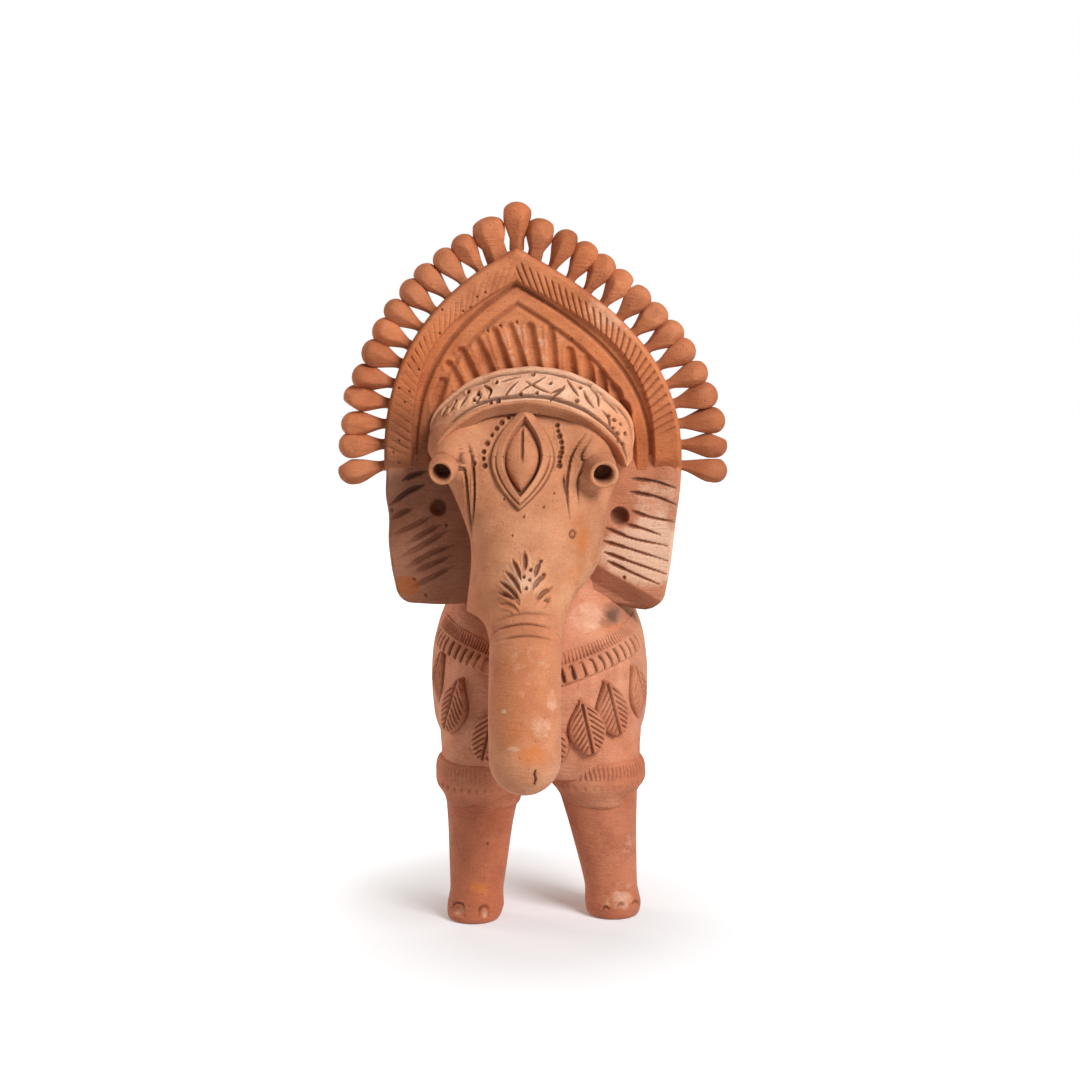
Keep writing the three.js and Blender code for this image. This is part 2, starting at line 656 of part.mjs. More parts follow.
// A pointed oval, as the forehead's ornaments and the leaves have
function pointedOval(x, z, length, width) {
  const outline = new THREE.Shape();
  outline.moveTo(x, z - length / 2);
  outline.quadraticCurveTo(x + width, z, x, z + length / 2);
  outline.quadraticCurveTo(x - width, z, x, z - length / 2);
  return outline;
}

// Forehead lozenge and bud: pointed ovals pressed on the forehead
const foreheadRoom = HEAD_HALF_WIDTH;

function foreheadOval(length, width, thickness) {
  const oval = pointedOval(LOZENGE_X, LOZENGE_Z, length, width);
  const cutter = slab(oval, rollFrontY - JOINT_GAP - foreheadRoom, foreheadRoom);
  return headOuter(thickness).subtract(headSeat).intersect(cutter);
}

const budHole = slab(
  pointedOval(LOZENGE_X, LOZENGE_Z, BUD_LENGTH + 2 * JOINT_GAP, BUD_WIDTH + 2 * JOINT_GAP),
  rollFrontY - 2 * foreheadRoom,
  2 * foreheadRoom
);
const lozengeOval = foreheadOval(LOZENGE_LENGTH, LOZENGE_WIDTH, LOZENGE_THICKNESS);
const foreheadLozenge = onePiece(lozengeOval.subtract(budHole));
const foreheadBud = onePiece(foreheadOval(BUD_LENGTH, BUD_WIDTH, BUD_THICKNESS));

// Eye tubes: cones with a blind round socket, seated under the ends of the brow roll
function eyeTube(side) {
  const outward = new THREE.Vector3(side * EYE_OUTWARD_SHARE, -1, -EYE_DOWNWARD_SHARE).normalize();
  const turn = new THREE.Quaternion().setFromUnitVectors(new THREE.Vector3(0, 1, 0), outward);
  const mouth = new THREE.Vector3(
    LOZENGE_X + side * EYE_SPREAD,
    BROW_Y - EYE_AHEAD,
    HEAD_WIDEST_Z - EYE_BELOW
  );
  const profile = [
    new THREE.Vector2(0, -EYE_LENGTH),
    new THREE.Vector2(EYE_ROOT_DIAMETER / 2, -EYE_LENGTH),
    new THREE.Vector2(SOCKET_DIAMETER / 2 + EYE_LIP, 0),
    new THREE.Vector2(SOCKET_DIAMETER / 2, 0),
    new THREE.Vector2(SOCKET_DIAMETER / 2, -SOCKET_DEPTH),
    new THREE.Vector2(0, -SOCKET_DEPTH),
  ];
  const geometry = new THREE.LatheGeometry(profile, EYE_SIDES);
  geometry.applyQuaternion(turn);
  geometry.translate(mouth.x, mouth.y, mouth.z);
  return onePiece(solid(geometry).subtract(headSeat).subtract(browRollSeat));
}

// Ears: slabs under the crown, trimmed to the head, the neck and the shoulder
const neckSeat = neckColumn(JOINT_GAP);

function ear(side) {
  const outerX = CROWN_MIDDLE_X + side * CROWN_HALF_WIDTH;
  const rootX = HEAD_X + side * EAR_ROOT_X;
  const topZ = CROWN_BASE_Z - JOINT_GAP;
  const footZ = CROWN_BASE_Z - EAR_HEIGHT;
  const footX = outerX - side * EAR_TAPER;
  const outline = new THREE.Shape();
  outline.moveTo(rootX, topZ);
  outline.lineTo(outerX, topZ);
  outline.lineTo(footX, footZ + EAR_CORNER);
  outline.quadraticCurveTo(footX, footZ, footX - side * EAR_CORNER, footZ);
  outline.lineTo(footX - side * EAR_FOOT_WIDTH, footZ);
  outline.lineTo(rootX, footZ + EAR_CORNER / 2);
  outline.closePath();
  const hole = new THREE.CylinderGeometry(
    EAR_HOLE_DIAMETER / 2,
    EAR_HOLE_DIAMETER / 2,
    2 * EAR_HOLE_DEPTH,
    EYE_SIDES
  );
  hole.translate(outerX - side * EAR_HOLE_IN, EAR_FRONT_Y, CROWN_BASE_Z - EAR_HOLE_BELOW);
  const cut = slab(outline, EAR_FRONT_Y, EAR_THICKNESS).subtract(solid(hole));
  return onePiece(cut.subtract(headSeat).subtract(neckSeat).subtract(bodySeat));
}

// Necklace strip and the leaves hung below it
function necklaceZ(x) {
  const share = Math.min(1, Math.abs(x) / BODY_HALF_WIDTH);
  return NECKLACE_END_Z - NECKLACE_SAG * (1 - share ** 2);
}

function necklaceCutter(grow) {
  const end = BODY_HALF_WIDTH + NECKLACE_THICKNESS + LEAF_THICKNESS;
  const dip = 2 * NECKLACE_SAG;
  const high = NECKLACE_END_Z + NECKLACE_HEIGHT / 2 + grow;
  const low = NECKLACE_END_Z - NECKLACE_HEIGHT / 2 - grow;
  const outline = new THREE.Shape();
  outline.moveTo(-end, high);
  outline.quadraticCurveTo(0, high - dip, end, high);
  outline.lineTo(end, low);
  outline.quadraticCurveTo(0, low - dip, -end, low);
  outline.closePath();
  const frontY = CHEST_Y - NECKLACE_RUN;
  return slab(outline, frontY, 2 * NECKLACE_RUN + grow);
}

const necklaceShell = bodyOuter(NECKLACE_THICKNESS).subtract(bodySeat);
const necklaceSeat = necklaceCutter(JOINT_GAP);
const leafShell = bodyOuter(LEAF_THICKNESS).subtract(bodySeat).subtract(necklaceSeat);

function garlandLeaf(number) {
  const share = number / (LEAF_COUNT - 1);
  const turn = LEAF_TURN + LEAF_SPREAD * (2 * share - 1);
  const outward = new THREE.Vector3(Math.sin(turn), -Math.cos(turn), 0);
  const across = new THREE.Vector3(Math.cos(turn), Math.sin(turn), 0);
  const place = new THREE.Matrix4().makeBasis(across, new THREE.Vector3(0, 0, 1), outward);
  const x = BODY_HALF_WIDTH * Math.sin(turn);
  const topZ = necklaceZ(x) - NECKLACE_HEIGHT / 2 - LEAF_HANG;
  place.setPosition(0, CHEST_Y + LEAF_AXIS_BEHIND, topZ - LEAF_LENGTH / 2);
  const geometry = new THREE.ExtrudeGeometry(pointedOval(0, 0, LEAF_LENGTH, LEAF_WIDTH), {
    depth: 2 * BODY_CHEST_REACH,
    bevelEnabled: false,
    curveSegments: LEAF_STEPS,
  });
  return onePiece(leafShell.intersect(solid(geometry.applyMatrix4(place))));
}

// Legs: tapering tubes with flat soles, trimmed to the underside of the barrel
function legAxis(leg, z) {
  const share = z / LEG_TOP_Z;
  const hipX = leg.side * (BODY_HALF_WIDTH - HIP_INSET);
  const footX = hipX + STANCE_X + leg.side * LEG_SPLAY;
  const x = THREE.MathUtils.lerp(footX, hipX, share);
  const y = THREE.MathUtils.lerp(leg.footY, leg.hipY, share);
  return new THREE.Vector2(x, y);
}

function legRing(leg, z, radius, sides) {
  const { x, y } = legAxis(leg, z);
  return levelRing(x, y, z, radius, radius, radius, 2, sides);
}

function legSolid(leg, grow) {
  const levels = [
    [-grow, SOLE_RADIUS],
    [FOOT_Z, FOOT_RADIUS],
    [ANKLE_Z, ANKLE_RADIUS],
    [RING_LOW_Z, LEG_RING_RADIUS],
    [LEG_TOP_Z + grow, LEG_TOP_RADIUS],
  ];
  return skin(levels.map(([z, radius]) => legRing(leg, z, radius + grow, LEG_SIDES)));
}

function legHollow(leg) {
  const levels = [
    [SOLE_THICKNESS, ANKLE_RADIUS],
    [RING_LOW_Z, LEG_RING_RADIUS],
    [2 * LEG_TOP_Z - RING_LOW_Z, LEG_TOP_RADIUS],
  ];
  return skin(levels.map(([z, radius]) => legRing(leg, z, radius - LEG_WALL, LEG_SIDES)));
}

// Leg rings: coils over the joint between each leg and the barrel
function legCoil(leg) {
  const outer = LEG_RING_RADIUS + RING_OUT;
  const levels = [
    [RING_LOW_Z, outer - RING_EDGE],
    [RING_LOW_Z + RING_EDGE, outer],
    [RING_LOW_Z + RING_HEIGHT - RING_EDGE, outer],
    [RING_LOW_Z + RING_HEIGHT, outer - RING_EDGE],
  ];
  const coil = skin(levels.map(([z, radius]) => legRing(leg, z, radius, RING_SIDES)));
  const between = block(
    new THREE.Vector3(-JOINT_GAP / 2, CHEST_Y - BODY_CHEST_REACH, RING_LOW_Z - RING_HEIGHT),
    new THREE.Vector3(JOINT_GAP / 2, RUMP_Y + BODY_RUMP_REACH, RING_LOW_Z + 2 * RING_HEIGHT)
  );
  return onePiece(coil.subtract(legSolid(leg, JOINT_GAP)).subtract(bodySeat).subtract(between));
}

// Tail: a coil lying down the rump, thicker at the tuft
function tailSolid() {
  const points = [];
  for (let step = 0; step <= TAIL_STEPS; step += 1) {
    const share = step / TAIL_STEPS;
    const z = BODY_WIDEST_Z + TAIL_ABOVE - TAIL_LENGTH * share;
    const y = BODY_MIDDLE_Y + bodyLevel(z, 0).back + TAIL_RADIUS / 2;
    points.push(new THREE.Vector3(TAIL_SWING * Math.sin(Math.PI * share), y, z));
  }
  const curve = new THREE.CatmullRomCurve3(points);
  const rings = [];
  for (let step = 0; step <= TAIL_STEPS; step += 1) {
    const share = step / TAIL_STEPS;
    const tuft = Math.max(0, Math.sin(Math.PI * (2 * share - 1)));
    const end = step === 0 || step === TAIL_STEPS ? TAIL_END_SHARE : 1;
    const radius = end * THREE.MathUtils.lerp(TAIL_RADIUS, TAIL_TUFT_RADIUS, tuft);
    rings.push(ringAcross(curve.getPoint(share), curve.getTangent(share), radius, TAIL_SIDES));
  }
  return onePiece(skin(rings).subtract(bodySeat));
}

// The figure put together
const figure = new THREE.Group();

function add(name, body, colour, roughness) {
  const material = new THREE.MeshStandardMaterial({ color: colour, roughness, metalness: 0 });
  const mesh = new THREE.Mesh(geometryOf(body), material);
  mesh.name = name;
  figure.add(mesh);
}

const seamStart = TRUNK_SEAM_SHARE + JOINT_GAP / trunkCurve.getLength();
const trunkBore = trunkSolid(TRUNK_SEAM_SHARE - TRUNK_OVERRUN_SHARE, -WALL);
const neckTrimmed = neckColumn(0).subtract(neckBore).subtract(bodySeat).subtract(headSeat);

add("body_barrel", bodyHull.subtract(bodyHollow).subtract(neckBore), CLAY, 0.85);
add("neck_collar", onePiece(neckTrimmed), CLAY, 0.85);
add("head_shell", onePiece(headHull.subtract(headHollow).subtract(neckBore)), CLAY_PALE, 0.8);
add("trunk", trunkSolid(seamStart, 0).subtract(trunkBore), CLAY_ORANGE, 0.7);
add("crown_plate", onePiece(crownPlate), CLAY_RED, 0.85);
add("crown_rim", crownRim, CLAY, 0.85);
clubs().forEach((club, index) => {
  add(`crown_club_${String(index + 1).padStart(2, "0")}`, club, CLAY_PALE, 0.8);
});
add("headband", headband, CLAY_PALE, 0.8);
add("brow_roll", browRoll, CLAY_PALE, 0.8);
add("forehead_lozenge", foreheadLozenge, CLAY_PALE, 0.8);
add("forehead_bud", foreheadBud, CLAY_PALE, 0.8);
for (const [sideName, side] of [["left", 1], ["right", -1]]) {
  add(`eye_tube_${sideName}`, eyeTube(side), CLAY, 0.8);
  add(`ear_${sideName}`, ear(side), CLAY, 0.85);
  const extra = side < 0 ? RIGHT_EXTRA_STRIDE : 0;
  const frontHipY = CHEST_Y + FRONT_HIP_INSET - extra / 2;
  const rearHipY = RUMP_Y - REAR_HIP_INSET;
  const front = { side, hipY: frontHipY, footY: frontHipY - FRONT_STRIDE - extra / 2 };
  const rear = { side, hipY: rearHipY, footY: rearHipY + REAR_STRIDE };
  for (const [place, leg] of [["front", front], ["rear", rear]]) {
    const tube = legSolid(leg, 0).subtract(legHollow(leg)).subtract(bodySeat);
    add(`${place}_leg_${sideName}`, onePiece(tube), CLAY_RED, 0.85);
    add(`${place}_leg_ring_${sideName}`, legCoil(leg), CLAY, 0.85);
  }
}
add("necklace_band", onePiece(necklaceShell.intersect(necklaceCutter(0))), CLAY, 0.85);
for (let number = 0; number < LEAF_COUNT; number += 1) {
  add(`garland_leaf_${number + 1}`, garlandLeaf(number), CLAY_PALE, 0.85);
}
add("tail", tailSolid(), CLAY, 0.85);

// Centred over the feet's box, soles on the ground
const box = new THREE.Box3().setFromObject(figure);
const middle = box.getCenter(new THREE.Vector3());
figure.position.set(-middle.x, -middle.y, -box.min.z);

const elephant = new THREE.Group();
elephant.name = "terracotta_elephant";
elephant.add(figure);

export default elephant;
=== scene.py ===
import math

import bpy
import numpy as np
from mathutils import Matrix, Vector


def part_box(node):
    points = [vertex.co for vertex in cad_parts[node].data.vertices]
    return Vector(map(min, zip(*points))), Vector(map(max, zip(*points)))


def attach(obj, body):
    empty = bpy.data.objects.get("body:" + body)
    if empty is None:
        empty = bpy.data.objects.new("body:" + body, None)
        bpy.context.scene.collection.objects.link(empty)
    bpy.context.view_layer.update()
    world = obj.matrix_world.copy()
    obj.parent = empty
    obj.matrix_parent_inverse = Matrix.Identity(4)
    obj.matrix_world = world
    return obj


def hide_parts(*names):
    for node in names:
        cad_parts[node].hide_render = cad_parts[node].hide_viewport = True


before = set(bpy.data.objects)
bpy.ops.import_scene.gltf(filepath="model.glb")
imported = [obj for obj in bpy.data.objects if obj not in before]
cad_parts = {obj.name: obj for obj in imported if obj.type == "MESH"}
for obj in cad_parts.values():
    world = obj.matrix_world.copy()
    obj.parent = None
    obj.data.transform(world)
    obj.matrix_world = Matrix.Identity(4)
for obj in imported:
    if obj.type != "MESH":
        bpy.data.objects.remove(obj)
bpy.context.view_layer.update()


# Camera. It stands square to the figurine's face and a little above it, so the crown looks
# upright and the floor shows between the feet. Lengths in this file are millimetres.
MM = 0.001
VIEW_AIM = np.array((2.985, 1.989, 153.5))
VIEW_DISTANCE = 1250.0
VIEW_ELEVATION = math.radians(10)
PICTURE_WIDTH = 462.24  # seen across the picture at the aim
SENSOR_WIDTH = 36.0
view_ahead = np.array((0.0, math.cos(VIEW_ELEVATION), -math.sin(VIEW_ELEVATION)))
view_up = np.array((0.0, math.sin(VIEW_ELEVATION), math.cos(VIEW_ELEVATION)))
view_eye = VIEW_AIM - VIEW_DISTANCE * view_ahead
camera_data = bpy.data.cameras.new("portrait camera")
camera_data.sensor_width = SENSOR_WIDTH
camera_data.lens = SENSOR_WIDTH * VIEW_DISTANCE / PICTURE_WIDTH
camera = bpy.data.objects.new("portrait camera", camera_data)
camera.location = view_eye * MM
camera.rotation_euler = (math.radians(90) - VIEW_ELEVATION, 0, 0)
bpy.context.scene.collection.objects.link(camera)
bpy.context.scene.camera = camera
bpy.context.scene.view_settings.view_transform = "Standard"


# Body barrel. A hollow thrown barrel of low-fired clay, laid on its side, wiped smooth with a
# wet hand; everything else is luted on to it before firing.
BODY_RISE = 55.0  # widest level up to the back
BODY_DROP = 40.0  # widest level down to the belly
BODY_CHEST_REACH = 69.0
BODY_PLAN_EXPONENT = 2.4  # 2 makes the plan an ellipse, more makes it squarer
BODY_SIDE_TOP_EXPONENT = 2.1
BODY_SIDE_LOW_EXPONENT = 3.2
BODY_CHEST_TOP_EXPONENT = 1.5
BODY_CHEST_LOW_EXPONENT = 4.5
BODY_SIDES = 256
BODY_LEVELS = 120
LEG_RINGS = ("front_leg_ring_left", "front_leg_ring_right", "rear_leg_ring_left", "rear_leg_ring_right")
HAUNCH_RADIUS = 19.3  # clay carried up the barrel from the top of each leg
HAUNCH_TOP_RADIUS = 16.0
HAUNCH_RISE = 36.0
HAUNCH_DRAW_IN = 0.72  # share of its distance aside that is left at its top
HAUNCH_DRAW_BACK = 0.85
HAUNCH_FROM_Z = 60.0
HAUNCH_ABOVE_WIDEST = 15.0  # they are lost in the barrel above this
HAUNCH_OUT = 14.0  # furthest that a haunch can stand out of the barrel
HAUNCH_BLEND = 14.0
POLE_SHARE = 0.985  # how far the rings run towards the back and belly before they close
HAND_DENTS = (32.0, 0.5)  # width and depth of dents left by a palm, as in the other dents below
FINGER_DENTS = (8.0, 0.12)
CLAY_BODY = "#c67d5c"
CLAY_BODY_LIGHT = "#d29474"
CLAY_BODY_DARK = "#9e5839"
CLAY_FLASH = "#c9743c"  # where the flame touched
CLAY_SMOKE = "#5e4336"  # where smoke lay in the kiln
CLAY_BLOOM_AND_HIGHLIGHT = "#e2bca0"  # pale salts drawn to the surface, and painted highlights
CLAY_DIRT_AND_SHADE = "#4b2513"  # dirt, and painted shade in cuts, hollows and under overhangs
CLOUD_SIZE = 45.0  # clouds of colour left by the fire
MOTTLE_SIZE = 12.0
FLECK_SIZE = 4.0  # crumbs of salt and scorched skin
GRIT_SIZE = 0.7  # the sand in the clay is finer, and is drawn this coarse so that it shows
GRIT_RELIEF = 0.2
PIT_SPACING = 3.2
PIT_RELIEF = 0.35
WIPING_LENGTH = 7.0  # strokes of a wet hand, drawn out along the piece
WIPING_STRETCH = (1.0, 1.0, 7.0)
WIPING_TURN = (0.3, 0.2, 0.0)
WIPING_RELIEF = 0.8
DENT_WAVES = 9  # ripples that add up to one set of dents
HALVINGS = 26  # steps that bring a point to rest on a surface
DIRT_AND_SHADE = 0  # places of the marks among the colour marks of a surface
FLASH = 1
SMOKE = 2
BLOOM_AND_HIGHLIGHT = 3
SMOKE_STAINS = (  # a smudge beside the neck: kind, middle and size on the drawing, strength
    (SMOKE, (30.5, -29.5), (6.0, 5.0), 0.35),
    (SMOKE, (33.0, -32.5), (6.0, 5.0), 0.35),
    (SMOKE, (29.0, -34.5), (6.0, 5.0), 0.35),
)
BODY_FLASH_AND_HIGHLIGHT = (
    (FLASH, (34.0, -41.0), (14.0, 10.0), 0.35),
    # a painted highlight on the chest
    (BLOOM_AND_HIGHLIGHT, (20.0, -33.0), (13.0, 11.0), 0.38),
)


def node_box(node):
    low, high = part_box(node)
    return np.array(low) / MM, np.array(high) / MM


def node_middle(node):
    low, high = node_box(node)
    return (low + high) / 2


def drawn(points):
    """Where points fall on a front drawing seen by the camera: mm right of and above its middle."""
    away = points - view_eye
    depth = away @ view_ahead
    return away[..., 0] / depth * VIEW_DISTANCE, away @ view_up / depth * VIEW_DISTANCE


def rounding(share, exponent):
    return np.maximum(0.0, 1 - np.clip(share, 0, 1) ** exponent) ** (1 / exponent)


def blend(low, high, value):
    """0 below low, 1 above high, and a smooth rise between."""
    share = np.clip((value - low) / (high - low), 0, 1)
    return share * share * (3 - 2 * share)


def unevenness(points, width, height, seed):
    """Gentle dents of about the given width, the same on every run."""
    chance = np.random.default_rng(seed)
    total = np.zeros(points.shape[:-1])
    for wave in range(DENT_WAVES):
        direction = chance.normal(size=3)
        direction *= 2 * math.pi / (width * chance.uniform(1.2, 2.6)) / np.linalg.norm(direction)
        total += np.sin(points @ direction + chance.uniform(0, 2 * math.pi))
    return total * height / math.sqrt(DENT_WAVES)


def full_turn(count):
    return np.linspace(0, 2 * math.pi, count, endpoint=False)


def places(x, y, z):
    """Points from their coordinates, each spread to the shape of the others."""
    return np.stack(np.broadcast_arrays(x, y, z), -1)


def unit(vectors):
    return vectors / np.maximum(np.linalg.norm(vectors, axis=-1, keepdims=True), 1e-9)


def ring_normals(rings):
    across = np.roll(rings, -1, 1) - np.roll(rings, 1, 1)
    return unit(np.cross(across, np.gradient(rings, axis=0)))


def ring_faces(rings):
    """Points and faces of a skin over rings, with both ends closed."""
    levels, sides = rings.shape[:2]
    number = np.arange(levels * sides).reshape(levels, sides)
    after = np.roll(number, -1, 1)
    quads = np.stack([number[:-1], after[:-1], after[1:], number[1:]], -1).reshape(-1, 4)
    first, last = levels * sides, levels * sides + 1
    start = np.stack([np.full(sides, first), after[0], number[0]], -1)
    end = np.stack([np.full(sides, last), number[-1], after[-1]], -1)
    points = np.concatenate([rings.reshape(-1, 3), rings[:1].mean(1), rings[-1:].mean(1)])
    return points, quads, np.concatenate([start, end])


def linear(hex_colour):
    """An sRGB hex colour as the linear values a shader takes."""
    channels = [int(hex_colour[place:place + 2], 16) / 255 for place in (1, 3, 5)]
    return [c / 12.92 if c <= 0.04045 else ((c + 0.055) / 1.055) ** 2.4 for c in channels] + [1.0]


def add_node(tree, kind, settings=None, links=None):
    """One node with its settings, and the sockets that feed it."""
    node = tree.nodes.new(kind)
    for key, value in (settings or {}).items():
        if isinstance(key, str) and hasattr(node, key):
            setattr(node, key, value)
        else:
            node.inputs[key].default_value = value
    for key, socket in (links or {}).items():
        tree.links.new(socket, node.inputs[key])
    return node


def per_metre(size):
    """Texture scale that repeats a pattern every so many millimetres."""
    return 1 / (size * MM)


def fired_clay(name, body, light, dark, sheen=0.03):
    """Porous unglazed clay: dull, mottled by the fire, with grit, pits and wiping marks."""
    material = bpy.data.materials.new(name)
    material.use_nodes = True
    tree = material.node_tree
    tree.nodes.clear()
    place = add_node(tree, "ShaderNodeTexCoord").outputs["Object"]
    surface_marks = add_node(tree, "ShaderNodeAttribute", {"attribute_name": "surface_marks"})
    worked = add_node(tree, "ShaderNodeSeparateColor", {}, {"Color": surface_marks.outputs["Color"]})

    # Clouds of colour from the fire, and smaller mottles in them
    clouds = add_node(
        tree, "ShaderNodeTexNoise", {"Scale": per_metre(CLOUD_SIZE), "Detail": 3.0}, {"Vector": place}
    )
    cloud_edge = add_node(
        tree, "ShaderNodeMapRange", {"From Min": 0.35, "From Max": 0.65}, {"Value": clouds.outputs["Fac"]}
    )
    colour = add_node(
        tree,
        "ShaderNodeMix",
        {"data_type": "RGBA", 6: linear(body), 7: linear(light)},
        {0: cloud_edge.outputs["Result"]},
    )
    mottles = add_node(
        tree,
        "ShaderNodeTexNoise",
        {"Scale": per_metre(MOTTLE_SIZE), "Detail": 5.0, "Roughness": 0.6},
        {"Vector": place},
    )
    mottle_edge = add_node(
        tree,
        "ShaderNodeMapRange",
        {"From Min": 0.42, "From Max": 0.72, "To Max": 0.55},
        {"Value": mottles.outputs["Fac"]},
    )
    colour = add_node(
        tree,
        "ShaderNodeMix",
        {"data_type": "RGBA", 7: linear(dark)},
        {0: mottle_edge.outputs["Result"], 6: colour.outputs[2]},
    )

    # Flame flashes, smoke, salts and painted highlights where the piece has them, broken up by the mottles
    # and by flecks
    flecks = add_node(
        tree,
        "ShaderNodeTexNoise",
        {"Scale": per_metre(FLECK_SIZE), "Detail": 6.0, "Roughness": 0.7},
        {"Vector": place},
    )
    for channel, tint, most, broken_by, starts, full in (
        (worked.outputs["Green"], CLAY_FLASH, 0.85, mottles, 0.85, 1.4),
        (worked.outputs["Blue"], CLAY_SMOKE, 0.9, mottles, 0.75, 1.7),
        (surface_marks.outputs["Alpha"], CLAY_BLOOM_AND_HIGHLIGHT, 0.75, flecks, 0.9, 1.3),
    ):
        broken = add_node(
            tree,
            "ShaderNodeMath",
            {"operation": "MULTIPLY_ADD", 1: 1.6},
            {0: channel, 2: broken_by.outputs["Fac"]},
        )
        share = add_node(
            tree,
            "ShaderNodeMapRange",
            {"From Min": starts, "From Max": full, "To Max": most},
            {"Value": broken.outputs[0]},
        )
        colour = add_node(
            tree,
            "ShaderNodeMix",
            {"data_type": "RGBA", 7: linear(tint)},
            {0: share.outputs["Result"], 6: colour.outputs[2]},
        )

    # Painted shade in cuts, hollows and under overhangs, with some dirt, and fine grit that speckles the
    # surface
    dirt_and_shade = add_node(
        tree, "ShaderNodeMapRange", {"From Max": 1.0, "To Max": 0.78}, {"Value": worked.outputs["Red"]}
    )
    colour = add_node(
        tree,
        "ShaderNodeMix",
        {"data_type": "RGBA", 7: linear(CLAY_DIRT_AND_SHADE)},
        {0: dirt_and_shade.outputs["Result"], 6: colour.outputs[2]},
    )
    grit = add_node(
        tree, "ShaderNodeTexNoise", {"Scale": per_metre(GRIT_SIZE), "Detail": 3.0}, {"Vector": place}
    )
    grit_value = add_node(
        tree,
        "ShaderNodeMapRange",
        {"From Min": 0.3, "From Max": 0.7, "To Min": 0.9, "To Max": 1.1},
        {"Value": grit.outputs["Fac"]},
    )
    colour = add_node(
        tree,
        "ShaderNodeHueSaturation",
        {},
        {"Value": grit_value.outputs["Result"], "Color": colour.outputs[2]},
    )

    # Relief too fine for the mesh: sand grain, pin pits, and strokes left by a wet hand
    pits = add_node(
        tree, "ShaderNodeTexVoronoi", {"Scale": per_metre(PIT_SPACING), "Randomness": 1.0}, {"Vector": place}
    )
    pit_depth = add_node(
        tree, "ShaderNodeMapRange", {"From Min": 0.05, "From Max": 0.17}, {"Value": pits.outputs["Distance"]}
    )
    stretch = add_node(
        tree, "ShaderNodeMapping", {"Scale": WIPING_STRETCH, "Rotation": WIPING_TURN}, {"Vector": place}
    )
    wiping = add_node(
        tree,
        "ShaderNodeTexNoise",
        {"Scale": per_metre(WIPING_LENGTH), "Detail": 4.0},
        {"Vector": stretch.outputs[0]},
    )
    relief = add_node(
        tree,
        "ShaderNodeBump",
        {"Strength": 0.7, "Distance": GRIT_RELIEF * MM},
        {"Height": grit.outputs["Fac"]},
    )
    relief = add_node(
        tree,
        "ShaderNodeBump",
        {"Strength": 0.7, "Distance": PIT_RELIEF * MM},
        {"Height": pit_depth.outputs["Result"], "Normal": relief.outputs[0]},
    )
    relief = add_node(
        tree,
        "ShaderNodeBump",
        {"Strength": 0.6, "Distance": WIPING_RELIEF * MM},
        {"Height": wiping.outputs["Fac"], "Normal": relief.outputs[0]},
    )
    dryness = add_node(
        tree,
        "ShaderNodeMapRange",
        {"To Min": 0.66, "To Max": 0.88},
        {"Value": mottles.outputs["Fac"]},
    )
    clay = add_node(
        tree,
        "ShaderNodeBsdfPrincipled",
        {"IOR": 1.5, "Specular IOR Level": 0.3, "Sheen Weight": sheen, "Sheen Roughness": 0.45},
        {
            "Base Color": colour.outputs["Color"],
            "Roughness": dryness.outputs["Result"],
            "Normal": relief.outputs[0],
        },
    )
    add_node(tree, "ShaderNodeOutputMaterial", {}, {"Surface": clay.outputs[0]})
    return material


def make_piece(name, node, clay, skin, surface_marks=None):
    """One piece of the figurine in place of its CAD node; its skin is points, quads and triangles."""
    points, quads, triangles = skin
    mesh = bpy.data.meshes.new(name)
    mesh.vertices.add(len(points))
    mesh.vertices.foreach_set("co", (points * MM).astype(np.float32).ravel())
    corners = np.concatenate([quads.ravel(), triangles.ravel()]).astype(np.int32)
    starts = np.concatenate([
        np.arange(len(quads)) * 4,
        len(quads) * 4 + np.arange(len(triangles)) * 3,
    ]).astype(np.int32)
    mesh.loops.add(len(corners))
    mesh.loops.foreach_set("vertex_index", corners)
    mesh.polygons.add(len(starts))
    mesh.polygons.foreach_set("loop_start", starts)
    mesh.polygons.foreach_set("use_smooth", np.ones(len(starts), bool))
    mesh.update(calc_edges=True)
    marks = np.zeros((len(points), 4), np.float32)
    if surface_marks is not None:
        marks[:surface_marks.size // 4] = surface_marks.reshape(-1, 4)
    layer = mesh.attributes.new("surface_marks", "FLOAT_COLOR", "POINT")
    layer.data.foreach_set("color", marks.ravel())
    mesh.materials.append(clay)
    piece = bpy.data.objects.new(name, mesh)
    bpy.context.scene.collection.objects.link(piece)
    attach(piece, "root")
    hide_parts(node)
    return piece


def patch(u, v, centre, size):
    """A soft-edged patch on the drawing."""
    away = np.hypot((u - centre[0]) / size[0], (v - centre[1]) / size[1])
    return 1 - blend(0.35, 1.0, away)


def new_surface(points, dirt_and_shade=0.0):
    """The colour marks of a surface, with nothing yet but its dirt and painted shade."""
    surface_marks = np.zeros(points.shape[:2] + (4,))
    surface_marks[..., DIRT_AND_SHADE] = dirt_and_shade
    return surface_marks


def add_marks(surface_marks, u, v, stains, where=1.0):
    """Adds marks of the fire, salts and painted highlights, each with its kind, middle, size and strength.
    """
    for kind, middle, size, strength in stains:
        surface_marks[..., kind] += strength * patch(u, v, middle, size) * where


body_low, body_high = node_box("body_barrel")
BODY_X = (body_low[0] + body_high[0]) / 2
BODY_HALF_WIDTH = (body_high[0] - body_low[0]) / 2
BODY_WIDEST_Z = body_low[2] + BODY_DROP
BODY_MIDDLE_Y = body_low[1] + BODY_CHEST_REACH
BODY_RUMP_REACH = body_high[1] - BODY_MIDDLE_Y


